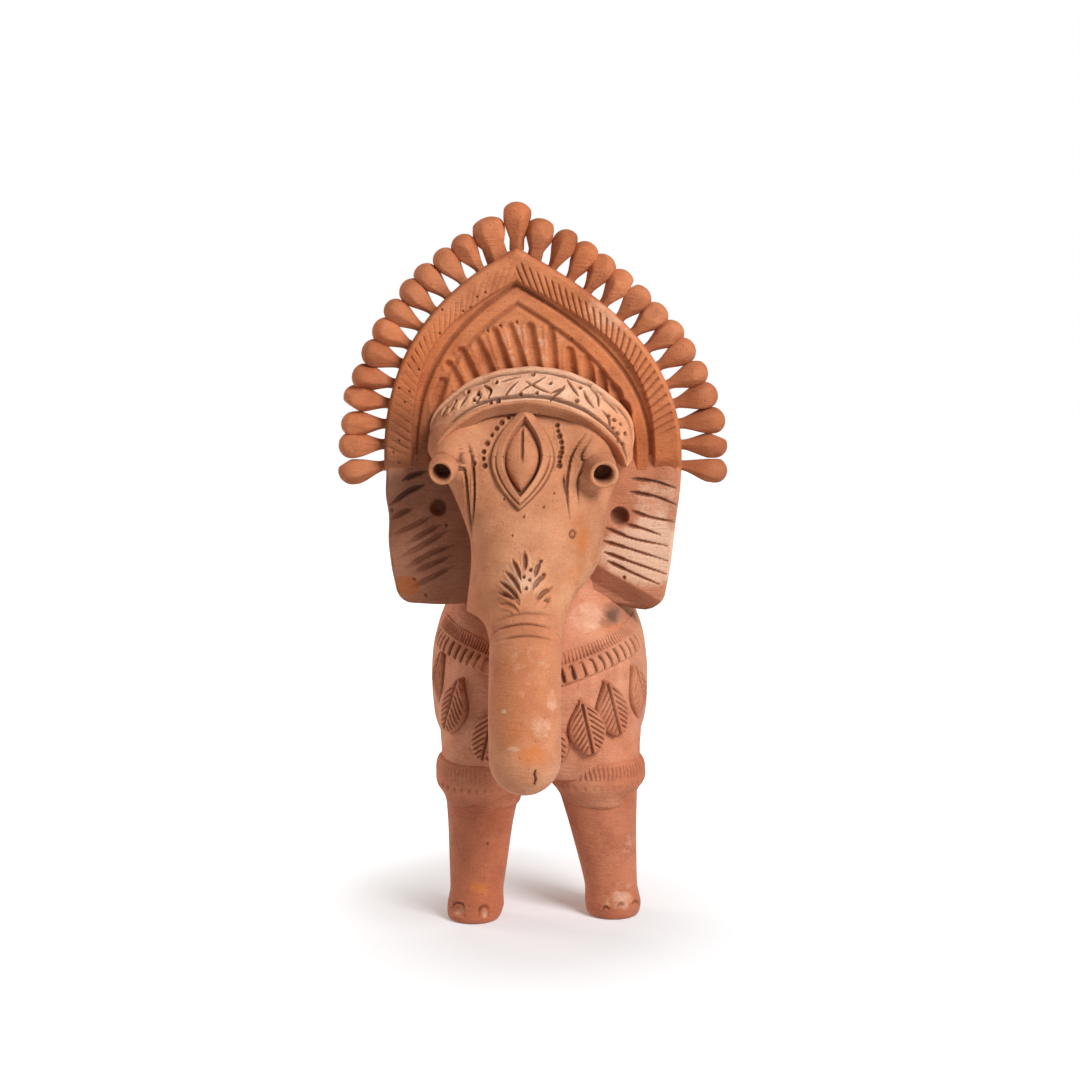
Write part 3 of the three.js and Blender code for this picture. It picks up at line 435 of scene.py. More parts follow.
def body_level(z):
    above = z >= BODY_WIDEST_Z
    share = np.abs(z - BODY_WIDEST_Z) / np.where(above, BODY_RISE, BODY_DROP)
    high = rounding(share, BODY_SIDE_TOP_EXPONENT)
    low = rounding(share, BODY_SIDE_LOW_EXPONENT)
    side = np.where(above, high, low)
    high = rounding(share, BODY_CHEST_TOP_EXPONENT)
    low = rounding(share, BODY_CHEST_LOW_EXPONENT)
    chest = np.where(above, high, low)
    return BODY_HALF_WIDTH * side, BODY_CHEST_REACH * chest, BODY_RUMP_REACH * side


def body_point(turn, z):
    """The barrel's surface, turn measured round its plan from the elephant's left."""
    half, chest, rump = body_level(z)
    power = 2 / BODY_PLAN_EXPONENT
    across = np.cos(turn)
    along = np.sin(turn)
    x = BODY_X + half * np.sign(across) * np.abs(across) ** power
    y = BODY_MIDDLE_Y + np.where(along < 0, chest, rump) * np.sign(along) * np.abs(along) ** power
    return places(x, y, z)


def mix(low, high, share):
    return low + (high - low) * share


def run_together(first, second, softness):
    """Joins two soft forms, given how far outside each of them a place lies."""
    overlap = np.maximum(softness - np.abs(first - second), 0) / softness
    return np.minimum(first, second) - overlap ** 2 * softness / 4


def rod_outside(points, start, end, first, last):
    """How far points lie outside a tapering rod with round ends."""
    way = np.asarray(end) - start
    run = np.clip((points - start) @ way / (way @ way), 0, 1)
    return np.linalg.norm(points - start - run[..., None] * way, axis=-1) - mix(first, last, run)


haunches = []
for ring in LEG_RINGS:
    foot = node_middle(ring)
    shoulder = (
        mix(BODY_X, foot[0], HAUNCH_DRAW_IN),
        mix(BODY_MIDDLE_Y, foot[1], HAUNCH_DRAW_BACK),
        foot[2] + HAUNCH_RISE,
    )
    haunches.append((foot, shoulder))


def body_outside(points):
    """Roughly how far points lie outside the barrel and its haunches; negative inside."""
    half, chest, rump = (np.maximum(reach, 0.5) for reach in body_level(points[..., 2]))
    y = points[..., 1] - BODY_MIDDLE_Y
    reach = np.where(y < 0, chest, rump)
    ratio = (np.abs(points[..., 0] - BODY_X) / half) ** BODY_PLAN_EXPONENT
    ratio += (np.abs(y) / reach) ** BODY_PLAN_EXPONENT
    whole = (ratio ** (1 / BODY_PLAN_EXPONENT) - 1) * np.minimum(half, reach)
    for foot, shoulder in haunches:
        haunch = rod_outside(points, foot, shoulder, HAUNCH_RADIUS, HAUNCH_TOP_RADIUS)
        whole = run_together(whole, haunch, HAUNCH_BLEND)
    return whole


def lay_on(points, direction, outside, reach):
    """Slides points along a direction until they rest on a surface."""
    direction = np.asarray(direction, float)
    low = np.full(points.shape[:-1], -float(reach))
    high = np.full(points.shape[:-1], float(reach))
    for step in range(HALVINGS):
        middle = (low + high) / 2
        out = outside(points + direction * middle[..., None]) > 0
        high = np.where(out, middle, high)
        low = np.where(out, low, middle)
    return points + direction * ((low + high) / 2)[..., None]


# Unglazed and wiped with a wet hand, it looks dull and warm, clouded by the fire and open-pored
clay_body = fired_clay("low-fired terracotta", CLAY_BODY, CLAY_BODY_LIGHT, CLAY_BODY_DARK)
turns = full_turn(BODY_SIDES)
lift = np.sin(np.linspace(-POLE_SHARE, POLE_SHARE, BODY_LEVELS) * math.pi / 2)
heights = BODY_WIDEST_Z + lift * np.where(lift < 0, BODY_DROP, BODY_RISE)
rings = body_point(turns[None, :], heights[:, None])
outward = unit(rings - places(BODY_X, BODY_MIDDLE_Y, rings[..., 2]))
full = lay_on(rings + outward * HAUNCH_OUT, outward, body_outside, HAUNCH_OUT + 2)
level = rings[..., 2:]
rings = np.where((level > HAUNCH_FROM_Z) & (level < BODY_WIDEST_Z + HAUNCH_ABOVE_WIDEST), full, rings)
dents = unevenness(rings, *HAND_DENTS, 1)
dents = dents + unevenness(rings, *FINGER_DENTS, 2)
rings = rings - ring_normals(rings) * np.abs(dents)[..., None]
u, v = drawn(rings)
front = rings[..., 1] < BODY_MIDDLE_Y
surface_marks = new_surface(rings)
add_marks(surface_marks, u, v, SMOKE_STAINS + BODY_FLASH_AND_HIGHLIGHT, front)
make_piece("body-barrel", "body_barrel", clay_body, ring_faces(rings), surface_marks)


# Neck collar. A short thick coil of the same clay that joins the head to the barrel, smeared
# upwards and downwards with the thumb so that both joints are feathered.
NECK_SIDES = 128
NECK_LEVELS = 48
NECK_FEATHER_TOP = 1.5  # how far the clay spreads at each joint
NECK_FEATHER_FOOT = 2.0
NECK_RUN_IN = 6.0  # hidden length let into the head
NECK_DENTS = (14.0, 0.4)
NECK_STAINS = ((FLASH, (34.0, -38.0), (14.0, 10.0), 0.4),)
neck_low, neck_high = node_box("neck_collar")
neck_turns = full_turn(NECK_SIDES)
neck_z = np.linspace(neck_low[2], neck_high[2] + NECK_RUN_IN, NECK_LEVELS)
neck_share = (neck_z - neck_z[0]) / (neck_z[-1] - neck_z[0])
spread = NECK_FEATHER_TOP * blend(0.72, 1.0, neck_share)
spread = spread + NECK_FEATHER_FOOT * (1 - blend(0.0, 0.45, neck_share))
neck_middle = (neck_low + neck_high) / 2
neck_half = (neck_high - neck_low) / 2
rings = places(
    neck_middle[0] + (neck_half[0] + spread[:, None]) * np.cos(neck_turns)[None, :],
    neck_middle[1] + (neck_half[1] + spread[:, None]) * np.sin(neck_turns)[None, :],
    neck_z[:, None],
)
rings = rings + ring_normals(rings) * unevenness(rings, *NECK_DENTS, 3)[..., None]
u, v = drawn(rings)
surface_marks = new_surface(rings)
add_marks(surface_marks, u, v, SMOKE_STAINS + NECK_STAINS)
make_piece("neck-collar", "neck_collar", clay_body, ring_faces(rings), surface_marks)


# Legs. Four stout tapering pillars rolled from the red clay, splayed a little, each ending in
# a foot that is dabbed flat on the bench; the toenails of the front feet are cut with a tool.
LEG_SIDES = 144
LEG_LEVELS = 120
LEG_PROFILE = (  # height, radius
    (0.0, 9.6), (0.6, 10.6), (2.4, 11.4), (6.0, 11.7), (10.0, 11.2), (14.0, 11.1),
    (26.0, 12.4), (40.0, 14.2), (54.0, 16.4), (68.0, 18.6),
)
LEG_SPREAD_FOOT = 29.5
LEG_FOOT_SHIFT = 1.6
LEG_STEP = {  # how far each foot stands ahead of its hip, or behind it
    "front_leg_left": -7.0, "front_leg_right": -10.0, "rear_leg_left": 4.0, "rear_leg_right": 4.0,
}
LEG_TOP = 68.0
LEG_CROWDING = 1.25  # levels lie closer together towards the foot
LEG_PAST_HIP = 1.15  # the leg keeps its lean this far up into the belly
KNIFE_FLATS = (16.0, 0.6)  # left by paring
KNIFE_FLAT_SHAPE = (1, 1, 0.35)  # they run down the leg
NAIL_CUTS = {  # lines cut round the toenails, on the drawing
    "front_leg_right": (
        ((-38.0, -157.5), (-36.5, -155.6), (-33.5, -155.8), (-32.0, -158.5)),
        ((-26.5, -161.5), (-25.6, -157.6), (-23.0, -156.8), (-21.2, -160.0)),
    ),
    "front_leg_left": (
        ((26.1, -158.9), (28.0, -157.0), (29.9, -158.6)),
        ((32.6, -157.4), (34.5, -155.5), (36.4, -157.1)),
        ((39.1, -156.4), (41.0, -154.5), (42.9, -156.1)),
    ),
}
NAIL_CUT_WIDTH = 1.5
NAIL_CUT_DEPTH = 0.9
NAIL_SCOOPS = {  # hollows thumbed below them, with their width
    "front_leg_right": (
        (((-37.0, -157.4), (-35.0, -158.8), (-33.2, -160.6)), 4.2),
        (((-23.6, -157.8), (-23.3, -162.0)), 3.2),
    ),
}
ANKLE_SCRATCHES = {"front_leg_left": (((26.5, -151.5), (30.0, -151.3)), ((35.5, -150.6), (39.0, -150.2)))}
ANKLE_SCRATCH = (0.9, 0.35)  # width and depth, as in the pairs of other marks below
SHIN_PITS = {"front_leg_right": ((-22.5, -130.0),)}
SHIN_PIT = (1.5, 0.8)
LEG_CUT_SHADE = 0.75  # share of painted shade put in the cuts
LEG_STAINS = {  # salts and flame on the front legs
    "front_leg_right": (
        (BLOOM_AND_HIGHLIGHT, (-35.0, -159.0), (4.0, 3.0), 0.4),
        (BLOOM_AND_HIGHLIGHT, (-23.5, -160.0), (2.2, 3.6), 0.4),
        (BLOOM_AND_HIGHLIGHT, (-18.8, -122.5), (6.0, 3.0), 0.2),
        (BLOOM_AND_HIGHLIGHT, (-24.0, -141.0), (5.0, 7.0), 0.2),
        (FLASH, (-27.0, -152.0), (7.0, 8.0), 0.26),
        (FLASH, (-22.0, -149.0), (8.0, 5.0), 0.26),
        (FLASH, (-29.5, -146.0), (4.0, 6.0), 0.26),
    ),
    "front_leg_left": (
        (BLOOM_AND_HIGHLIGHT, (26.5, -117.0), (7.0, 9.0), 0.22),
        (BLOOM_AND_HIGHLIGHT, (38.5, -129.5), (7.0, 9.0), 0.26),
        (BLOOM_AND_HIGHLIGHT, (31.0, -136.0), (7.0, 9.0), 0.22),
        (BLOOM_AND_HIGHLIGHT, (36.0, -148.0), (8.0, 9.0), 0.24),
        (BLOOM_AND_HIGHLIGHT, (33.0, -155.0), (12.0, 6.0), 0.3),
    ),
}
CLAY_LEG = "#b26241"
CLAY_LEG_LIGHT = "#bf7757"
CLAY_LEG_DARK = "#8b462b"


def smooth_curve(points, steps=10):
    """An even curve through the given points."""
    points = np.asarray(points, float)
    ends = np.concatenate([2 * points[:1] - points[1:2], points, 2 * points[-1:] - points[-2:-1]])
    share = np.linspace(0, 1, steps, endpoint=False)[:, None]
    runs = []
    for a, b, c, d in zip(ends, ends[1:], ends[2:], ends[3:]):
        bend = (2 * b) + (c - a) * share + (2 * a - 5 * b + 4 * c - d) * share ** 2
        runs.append((bend + (3 * b - a - 3 * c + d) * share ** 3) / 2)
    return np.concatenate(runs + [points[-1:]])


def nearest(line, spots):
    """How far spots lie from a line, and the share of its points passed where it is nearest."""
    best = np.full(spots.shape[:-1], 1e9)
    share = np.zeros(spots.shape[:-1])
    for number, (start, end) in enumerate(zip(line, line[1:])):
        way = end - start
        run = np.clip((spots - start) @ way / max(way @ way, 1e-9), 0, 1)
        away = np.linalg.norm(spots - start - run[..., None] * way, axis=-1)
        closer = away < best
        best = np.where(closer, away, best)
        share = np.where(closer, (number + run) / (len(line) - 1), share)
    return best, share


def rounded(away, half):
    """The round section of a cut or bead: 1 along its middle and 0 from half its width outward."""
    return np.maximum(0, 1 - (away / half) ** 2)


class WetClay:
    """The soft surface of one piece: where it falls on the drawing, and how deep it is worked."""

    def __init__(self, u, v):
        self.u = u
        self.v = v
        self.cut = np.zeros(u.shape)
        self.lip = np.zeros(u.shape)

    def near(self, line, reach):
        low = line.min(0) - reach
        high = line.max(0) + reach
        inside = (self.u > low[0]) & (self.u < high[0]) & (self.v > low[1]) & (self.v < high[1])
        away, share = nearest(line, np.stack([self.u[inside], self.v[inside]], -1))
        return inside, away, share

    def stroke(self, points, width, depth, thin=0.35):
        """A groove drawn with a pointed stick; it thins towards its ends and throws up a burr."""
        line = smooth_curve(points, 6)
        inside, away, share = self.near(line, width * 1.5)
        body = thin + (1 - thin) * blend(0, 0.3, np.minimum(share, 1 - share))
        ratio = away / (width / 2 * body)
        self.cut[inside] = np.maximum(self.cut[inside], depth * body * rounded(ratio, 1))
        burr = 0.22 * depth * body * np.exp(-(((ratio - 1.35) / 0.4) ** 2))
        self.lip[inside] = np.maximum(self.lip[inside], burr)

    def dot(self, centre, width, depth):
        """A prick or punch mark."""
        away = np.hypot(self.u - centre[0], self.v - centre[1]) / (width / 2)
        self.cut = np.maximum(self.cut, depth * np.maximum(0, 1 - away ** 4))
        self.lip = np.maximum(self.lip, 0.2 * depth * np.exp(-(((away - 1.35) / 0.35) ** 2)))

    def ridge(self, points, width, height, thin=0.4):
        """A raised line of clay."""
        line = smooth_curve(points, 6)
        inside, away, share = self.near(line, width)
        body = thin + (1 - thin) * blend(0, 0.25, np.minimum(share, 1 - share))
        bead = height * body * rounded(away, width / 2)
        self.lip[inside] = np.maximum(self.lip[inside], bead)

    def depth(self):
        return self.cut - self.lip * (1 - blend(0.0, 0.15, self.cut))

    # Painted shade in the cuts, darker where they are deeper.
    def dirt_and_shade(self):
        return blend(0.1, 0.85, self.cut)


# A redder batch rubbed while damp: deep red, with a faint soft light along its edges
clay_leg = fired_clay("red terracotta", CLAY_LEG, CLAY_LEG_LIGHT, CLAY_LEG_DARK, 0.15)
leg_profile = smooth_curve(LEG_PROFILE)
leg_turns = full_turn(LEG_SIDES)
leg_z = LEG_TOP * np.linspace(0, 1, LEG_LEVELS) ** LEG_CROWDING
leg_radius = np.interp(leg_z, leg_profile[:, 0], leg_profile[:, 1])
leg_lean = {}  # how far each leg runs outward and forward for every millimetre down
for number, ring in enumerate(LEG_RINGS):
    leg = ring.replace("_ring", "")
    side = 1 if leg.endswith("left") else -1
    hip = node_middle(ring)
    foot = np.array((BODY_X + LEG_FOOT_SHIFT + side * LEG_SPREAD_FOOT, hip[1] + LEG_STEP[leg]))
    leg_lean[leg] = (foot - hip[:2]) / hip[2]
    lean = np.clip(leg_z / hip[2], 0, LEG_PAST_HIP)[:, None]
    x = foot[0] + (hip[0] - foot[0]) * lean
    y = foot[1] + (hip[1] - foot[1]) * lean
    rings = places(
        x + leg_radius[:, None] * np.cos(leg_turns)[None, :],
        y + leg_radius[:, None] * np.sin(leg_turns)[None, :],
        leg_z[:, None],
    )
    normals = ring_normals(rings)
    dents = unevenness(rings * KNIFE_FLAT_SHAPE, *KNIFE_FLATS, 10 + number)
    rings = rings - normals * (dents * blend(0.5, 6, rings[..., 2]))[..., None]
    clay = WetClay(*drawn(rings))
    scoop = WetClay(clay.u, clay.v)
    for line in NAIL_CUTS.get(leg, ()):
        clay.stroke(line, NAIL_CUT_WIDTH, NAIL_CUT_DEPTH)
    for line, width in NAIL_SCOOPS.get(leg, ()):
        scoop.stroke(line, width, NAIL_CUT_DEPTH, thin=0.6)
    for line in ANKLE_SCRATCHES.get(leg, ()):
        clay.stroke(line, *ANKLE_SCRATCH)
    for spot in SHIN_PITS.get(leg, ()):
        clay.dot(spot, *SHIN_PIT)
    facing = normals[..., 1] < -0.2
    # painted shade in the nail cuts, scratches and pits
    surface_marks = new_surface(rings, LEG_CUT_SHADE * clay.dirt_and_shade() * facing)
    add_marks(surface_marks, clay.u, clay.v, LEG_STAINS.get(leg, ()), facing)
    rings = rings - normals * ((clay.depth() + scoop.depth()) * facing)[..., None]
    make_piece(leg.replace("_", "-"), leg, clay_leg, ring_faces(rings), surface_marks)


# Leg rings. A coil is pressed round the top of each leg where it meets the belly; its upper
# half is nicked with a knife and a row of pricks runs below the nicks.
NO_TRIANGLES = np.zeros((0, 3), int)
RING_SECTION = 84
RING_TURN = 300
RING_NICK = 2.0  # spacing of the nicks
RING_PRICK = 3.6  # spacing of the pricks
RING_PRICK_BELOW = 3.4  # from the middle of the coil down to the row of pricks
RING_PRICK_RADIUS = 1.0
RING_NICK_DEPTH = 0.7
RING_PRICK_DEPTH = 0.95
RING_MARKS = {"front_leg_ring_right": (0.25, 1.5)}  # depth of nicks and pricks where they differ
RING_BULGE = 20.9
RING_NICK_SHARE = 0.28  # half of a nick, as a share of the spacing
RING_WANDER = (9.0, 0.9)  # the spacing wanders: length and amount
RING_DENTS = (12.0, 0.35)
RING_SEEN = 15.0  # clay nearer to the leg's middle than this is hidden
RING_OUTLINE = (  # radius, height from the middle: down the clay smeared on the leg and round the coil
    (13.0, -13.0), (15.4, -12.2), (16.4, -9.6), (17.8, -7.2), (19.5, -5.0), (20.6, -2.4), (20.9, 0.4),
    (20.9, 2.4), (20.5, 4.4), (19.8, 5.9), (18.4, 7.0), (15.0, 7.6), (10.0, 6.0), (10.0, -8.0),
    (13.0, -13.0),
)
CLAY_RING = "#be7251"
CLAY_RING_LIGHT = "#ca8766"
CLAY_RING_DARK = "#955033"


def run_along(line):
    """Distance along a line to each of its points."""
    return np.concatenate([[0], np.cumsum(np.linalg.norm(np.diff(line, axis=0), axis=1))])


def points_at(line, stops):
    """Points of a line at the given distances along it."""
    run = run_along(line)
    return np.stack([np.interp(stops, run, line[:, axis]) for axis in range(line.shape[1])], -1)


# Red clay wiped with the slip of the barrel: its colour lies between the legs and the body
clay_ring = fired_clay("wiped red terracotta", CLAY_RING, CLAY_RING_LIGHT, CLAY_RING_DARK)
ring_turns = full_turn(RING_TURN)
outline = smooth_curve(RING_OUTLINE, 12)
section = points_at(outline, np.linspace(0, run_along(outline)[-1], RING_SECTION, endpoint=False))
out = section[:, :1]
rise = section[:, 1:]
for number, name in enumerate(LEG_RINGS):
    middle = node_middle(name)
    lean = leg_lean[name.replace("_ring", "")]
    nick_depth, prick_depth = RING_MARKS.get(name, (RING_NICK_DEPTH, RING_PRICK_DEPTH))
    rings = places(
        middle[0] + out * np.cos(ring_turns)[None, :] + lean[0] * np.maximum(0, -rise),
        middle[1] + out * np.sin(ring_turns)[None, :] + lean[1] * np.maximum(0, -rise),
        middle[2] + rise,
    )
    across = np.roll(rings, -1, 1) - np.roll(rings, 1, 1)
    around = np.roll(rings, -1, 0) - np.roll(rings, 1, 0)
    normals = unit(np.cross(across, around))
    run = ring_turns[None, :] * RING_BULGE + unevenness(rings, *RING_WANDER, 20 + number)
    nick = rounded((run / RING_NICK) % 1 - 0.5, RING_NICK_SHARE)
    nick *= blend(-0.5, 0.6, rise) * (1 - blend(5.0, 6.2, rise)) * (out > RING_SEEN)
    prick = np.hypot(((run / RING_PRICK) % 1 - 0.5) * RING_PRICK, (rise + RING_PRICK_BELOW) * 0.75)
    prick = rounded(prick, RING_PRICK_RADIUS) * (out > RING_SEEN)
    prick *= 0.6 + 0.4 * np.sin(run * 1.7)
    cut = np.maximum(nick_depth * nick, prick_depth * prick)
    rings = rings - normals * (cut + unevenness(rings, *RING_DENTS, 30 + number))[..., None]
    # painted shade in the nicks and pricks, and darker on the clay smeared below the coil
    surface_marks = new_surface(rings, np.maximum(0.7 * cut, 0.2 * (1 - blend(-11.0, -4.0, rise))))
    count = np.arange(RING_SECTION * RING_TURN).reshape(RING_SECTION, RING_TURN)
    beside = np.roll(count, -1, 1)
    quads = np.stack([count, beside, np.roll(beside, -1, 0), np.roll(count, -1, 0)], -1).reshape(-1, 4)
    skin = (rings.reshape(-1, 3), quads, NO_TRIANGLES)
    make_piece(name.replace("_", "-"), name, clay_ring, skin, surface_marks)


# Necklace band. A thin strip of clay pressed across the chest, its upper edge feathered out
# and nicked finely, its lower edge standing proud and cut with larger slanting strokes.
NECKLACE_RUN_STEPS = 420
NECKLACE_ACROSS_STEPS = 36
NECKLACE_PROUD = 2.2
NECKLACE_HEIGHT = 12.5
NECKLACE_SLOPE = 0.25  # how it rises from the middle of the chest to the flanks
NECKLACE_ROUND = 6.0  # softens the turn at the middle
NECKLACE_END_TURN = 0.02  # it stops this far short of the flanks
NECKLACE_SMEAR = 34.0  # length over which each end is smeared into the barrel
NECKLACE_SKIN = 0.35  # thickness of its feathered upper edge
NECKLACE_SUNK = 1.2  # hidden thickness under it
FINE_NICK = 1.75  # spacing of the nicks along its upper edge
FINE_NICK_DEPTH = 1.3
FINE_NICK_LEAN = 0.15
LARGE_NICK = 4.4  # spacing of the strokes along its lower edge
LARGE_NICK_DEPTH = 2.3
LARGE_NICK_LEAN = 0.3
NECKLACE_WANDER = (9.0, 0.6)
NECKLACE_END_SUNK = 0.6
FORWARD = np.array((0.0, -1.0, 0.0))


def pad_faces(top, bottom):
    """Points and faces of a pad: a worked top, a hidden underside and the edge between."""
    rows, columns = top.shape[:2]
    number = np.arange(rows * columns).reshape(rows, columns)
    quads = np.stack([number[:-1, :-1], number[:-1, 1:], number[1:, 1:], number[1:, :-1]], -1).reshape(-1, 4)
    under = quads[:, ::-1] + rows * columns
    edge = np.concatenate([number[0, :-1], number[:-1, -1], number[-1, :0:-1], number[:0:-1, 0]])
    beyond = np.roll(edge, -1)
    walls = np.stack([beyond, edge, edge + rows * columns, beyond + rows * columns], -1)
    faces = np.concatenate([quads, under, walls])
    lift = np.cross(np.gradient(top, axis=1), np.gradient(top, axis=0)) * (top - bottom)
    faces = faces[:, ::-1] if lift.sum() < 0 else faces
    return np.concatenate([top.reshape(-1, 3), bottom.reshape(-1, 3)]), faces, NO_TRIANGLES


def sheet_normals(sheet, outward):
    normal = np.cross(np.gradient(sheet, axis=1), np.gradient(sheet, axis=0))
    normal *= np.sign((normal * outward).sum())
    return unit(normal)


necklace_low = node_box("necklace_band")[0]
necklace_turns = math.pi + np.linspace(NECKLACE_END_TURN, math.pi - NECKLACE_END_TURN, NECKLACE_RUN_STEPS)
widest = body_point(necklace_turns, np.full(NECKLACE_RUN_STEPS, BODY_WIDEST_Z))
climb = NECKLACE_SLOPE * np.hypot(widest[:, 0] - BODY_X, NECKLACE_ROUND)
necklace_centre = necklace_low[2] + NECKLACE_HEIGHT / 2 + climb
share = np.linspace(0, 1, NECKLACE_ACROSS_STEPS)  # from the lower edge up
z = necklace_centre[None, :] + (share[:, None] - 0.5) * NECKLACE_HEIGHT
sheet = body_point(necklace_turns[None, :], z)
normals = sheet_normals(sheet, FORWARD)
run = run_along(sheet[NECKLACE_ACROSS_STEPS // 2])[None, :] + unevenness(sheet, *NECKLACE_WANDER, 41)
lean = (share[:, None] - 0.5) * NECKLACE_HEIGHT * np.sign(necklace_turns - 1.5 * math.pi)[None, :]
proud = NECKLACE_PROUD * (1 - blend(0.25, 0.95, share))[:, None] * blend(0.0, 0.08, share)[:, None]
fine = rounded(((run + FINE_NICK_LEAN * lean) / FINE_NICK) % 1 - 0.5, 0.3)
fine = fine * (blend(0.6, 0.68, share) * (1 - blend(0.93, 1.0, share)))[:, None]
large = rounded(((run + LARGE_NICK_LEAN * lean) / LARGE_NICK) % 1 - 0.5, 0.21)
large = large * (blend(0.03, 0.14, share) * (1 - blend(0.46, 0.6, share)))[:, None]
fade = blend(0, NECKLACE_SMEAR, run) * (1 - blend(run.max() - NECKLACE_SMEAR, run.max(), run))
cut = np.maximum(FINE_NICK_DEPTH * fine, LARGE_NICK_DEPTH * large) * blend(0.35, 0.8, fade)
above = (proud + NECKLACE_SKIN - cut) * fade - NECKLACE_END_SUNK * (1 - fade)
top = sheet + normals * above[..., None]
bottom = sheet - normals * NECKLACE_SUNK
# painted shade in the nicks
surface_marks = new_surface(top, np.clip(0.75 * cut, 0, 1))
make_piece("necklace-band", "necklace_band", clay_body, pad_faces(top, bottom), surface_marks)


# Garland leaves. Small pointed pads of red clay, wiped with slip and hung below the necklace,
# each scored with a midrib and slanting veins after it was pressed on.
LEAVES = 8
LEAF_LENGTH = 24.5
LEAF_WIDTH = 16.5
LEAF_PROUD = 2.9
LEAF_PRESSED = {1: 0.6}  # share of that thickness left where one was pressed flatter
LEAF_SMEARED = {1: 0.6, 8: 0.6}  # share of the length at which a smeared tip starts to fade
LEAF_CLEAN_TIP = 0.93
LEAF_SUNK = 1.0  # hidden thickness under a leaf
LEAF_SHIFT = {1: 4.5, 2: 10.8, 3: 10.6, 6: -1.9, 7: -8.2, 8: -5.9}  # pressed on aside of even spacing
LEAF_LIFT = {1: 4.4, 2: 2.1, 3: -2.6, 6: 1.0, 7: 3.7, 8: 2.2}
LEAF_STEP = 0.28  # how the outer leaves hang higher than the middle ones
LEAF_STEP_FROM = 30.0
LEAF_ROWS = 84
LEAF_COLUMNS = 48
LEAF_LEAN = math.radians(11)
LEAF_LEAN_SHARE = {4: 0.4, 5: 0.4}  # the middle ones hang straighter
RIB_WIDTH = 1.5
RIB_DEPTH = 1.3
VEIN_SPACING = 2.6
VEIN_DEPTH = 1.1
VEIN_SLANT = 1.1
LEAF_DENTS = (7.0, 0.15)
RIB_ASIDE = 0.4
PAD_REACH = 30.0  # furthest that a pad is slid to meet its bed
for number in range(1, LEAVES + 1):
    name = f"garland_leaf_{number}"
    centre = node_middle(name)
    centre[0] += LEAF_SHIFT.get(number, 0)
    centre[2] += LEAF_STEP * (abs(centre[0] - BODY_X) - LEAF_STEP_FROM) + LEAF_LIFT.get(number, 0)
    outward = unit(np.array((centre[0] - BODY_X, (centre[1] - BODY_MIDDLE_Y) * 0.75, 0.0)))
    sideways = np.array((-outward[1], outward[0], 0.0))
    lean = LEAF_LEAN * np.sign(centre[0] - BODY_X) * LEAF_LEAN_SHARE.get(number, 1)
    down = np.linspace(0, 1, LEAF_ROWS)[:, None]
    across = np.linspace(-1, 1, LEAF_COLUMNS)[None, :]
    shape = np.sin(math.pi * np.clip(down, 0, 0.9999) ** 1.2) ** mix(0.85, 0.6, down)
    a = across * np.maximum(LEAF_WIDTH / 2 * shape, 0.8)
    b = LEAF_LENGTH * (0.5 - down) + 0 * across
    turned_a = a * math.cos(lean) - b * math.sin(lean)
    turned_b = a * math.sin(lean) + b * math.cos(lean)
    flat = centre + turned_a[..., None] * sideways + turned_b[..., None] * np.array((0, 0, 1.0))
    sheet = lay_on(flat, outward, body_outside, PAD_REACH)
    normals = sheet_normals(sheet, outward)
    rib = rounded(a + RIB_ASIDE, RIB_WIDTH / 2) * blend(0.04, 0.12, down)
    slant = (b + VEIN_SLANT * np.abs(a) + 0.35 * number) / VEIN_SPACING
    vein = rounded(slant % 1 - 0.5, 0.2)
    vein *= (1 - blend(0.72, 0.92, np.abs(across))) * blend(0.7, 1.6, np.abs(a))
    vein *= blend(0.1, 0.2, down) * (1 - blend(0.86, 0.95, down))
    edge = (1 - np.abs(across) ** 7) * blend(0.0, 0.07, down)
    edge = edge * (1 - blend(LEAF_SMEARED.get(number, LEAF_CLEAN_TIP), 1.0, down))
    cut = np.maximum(RIB_DEPTH * rib, VEIN_DEPTH * vein) * edge
    thick = LEAF_PROUD * LEAF_PRESSED.get(number, 1.0) * edge
    top = sheet + normals * (thick - cut + unevenness(sheet, *LEAF_DENTS, 50 + number))[..., None]
    bottom = sheet - normals * LEAF_SUNK
    # painted shade along the raised edges and in the cuts, slightly darker all over
    dirt_and_shade = np.maximum(0.1, 0.6 * blend(0.85, 1.0, np.abs(across)))
    surface_marks = new_surface(top, np.maximum(0.8 * cut, dirt_and_shade))
    make_piece(name.replace("_", "-"), name, clay_ring, pad_faces(top, bottom), surface_marks)


# Tail. A rolled cord of clay pressed down the rump, thickening to a tuft that is scored with a
# few lines.
TAIL_SIDES = 64
TAIL_LEVELS = 110
TAIL_RADIUS = 4.2
TAIL_TUFT_EXTRA = 1.6
TAIL_SWING = 2.0  # how far it wanders aside
TAIL_STANDS_OUT = 1.6  # its middle lies this far outside the rump
TAIL_REACH = 40.0  # furthest that it is slid to meet the rump
TUFT_LINES = 11
TUFT_LINE_DEPTH = 0.07  # share of the radius
tail_low, tail_high = node_box("tail")
tail_x = (tail_low[0] + tail_high[0]) / 2
tail_share = np.linspace(0, 1, TAIL_LEVELS)
tail_line = places(
    tail_x + TAIL_SWING * np.sin(tail_share * 3.0),
    body_high[1],
    tail_high[2] + (tail_low[2] - tail_high[2]) * tail_share,
)
tail_line = lay_on(tail_line, (0, 1, 0), body_outside, TAIL_REACH) + (0, TAIL_STANDS_OUT, 0)
tail_radius = TAIL_RADIUS + TAIL_TUFT_EXTRA * blend(0.55, 0.85, tail_share)
tail_radius = tail_radius * np.sqrt(np.clip(1 - (2 * tail_share - 1) ** 14, 0.01, 1))
tail_turns = full_turn(TAIL_SIDES)
scored = (np.cos(tail_turns * TUFT_LINES)[None, :] > 0.4) * blend(0.6, 0.7, tail_share)[:, None]
hair = 1 - TUFT_LINE_DEPTH * scored
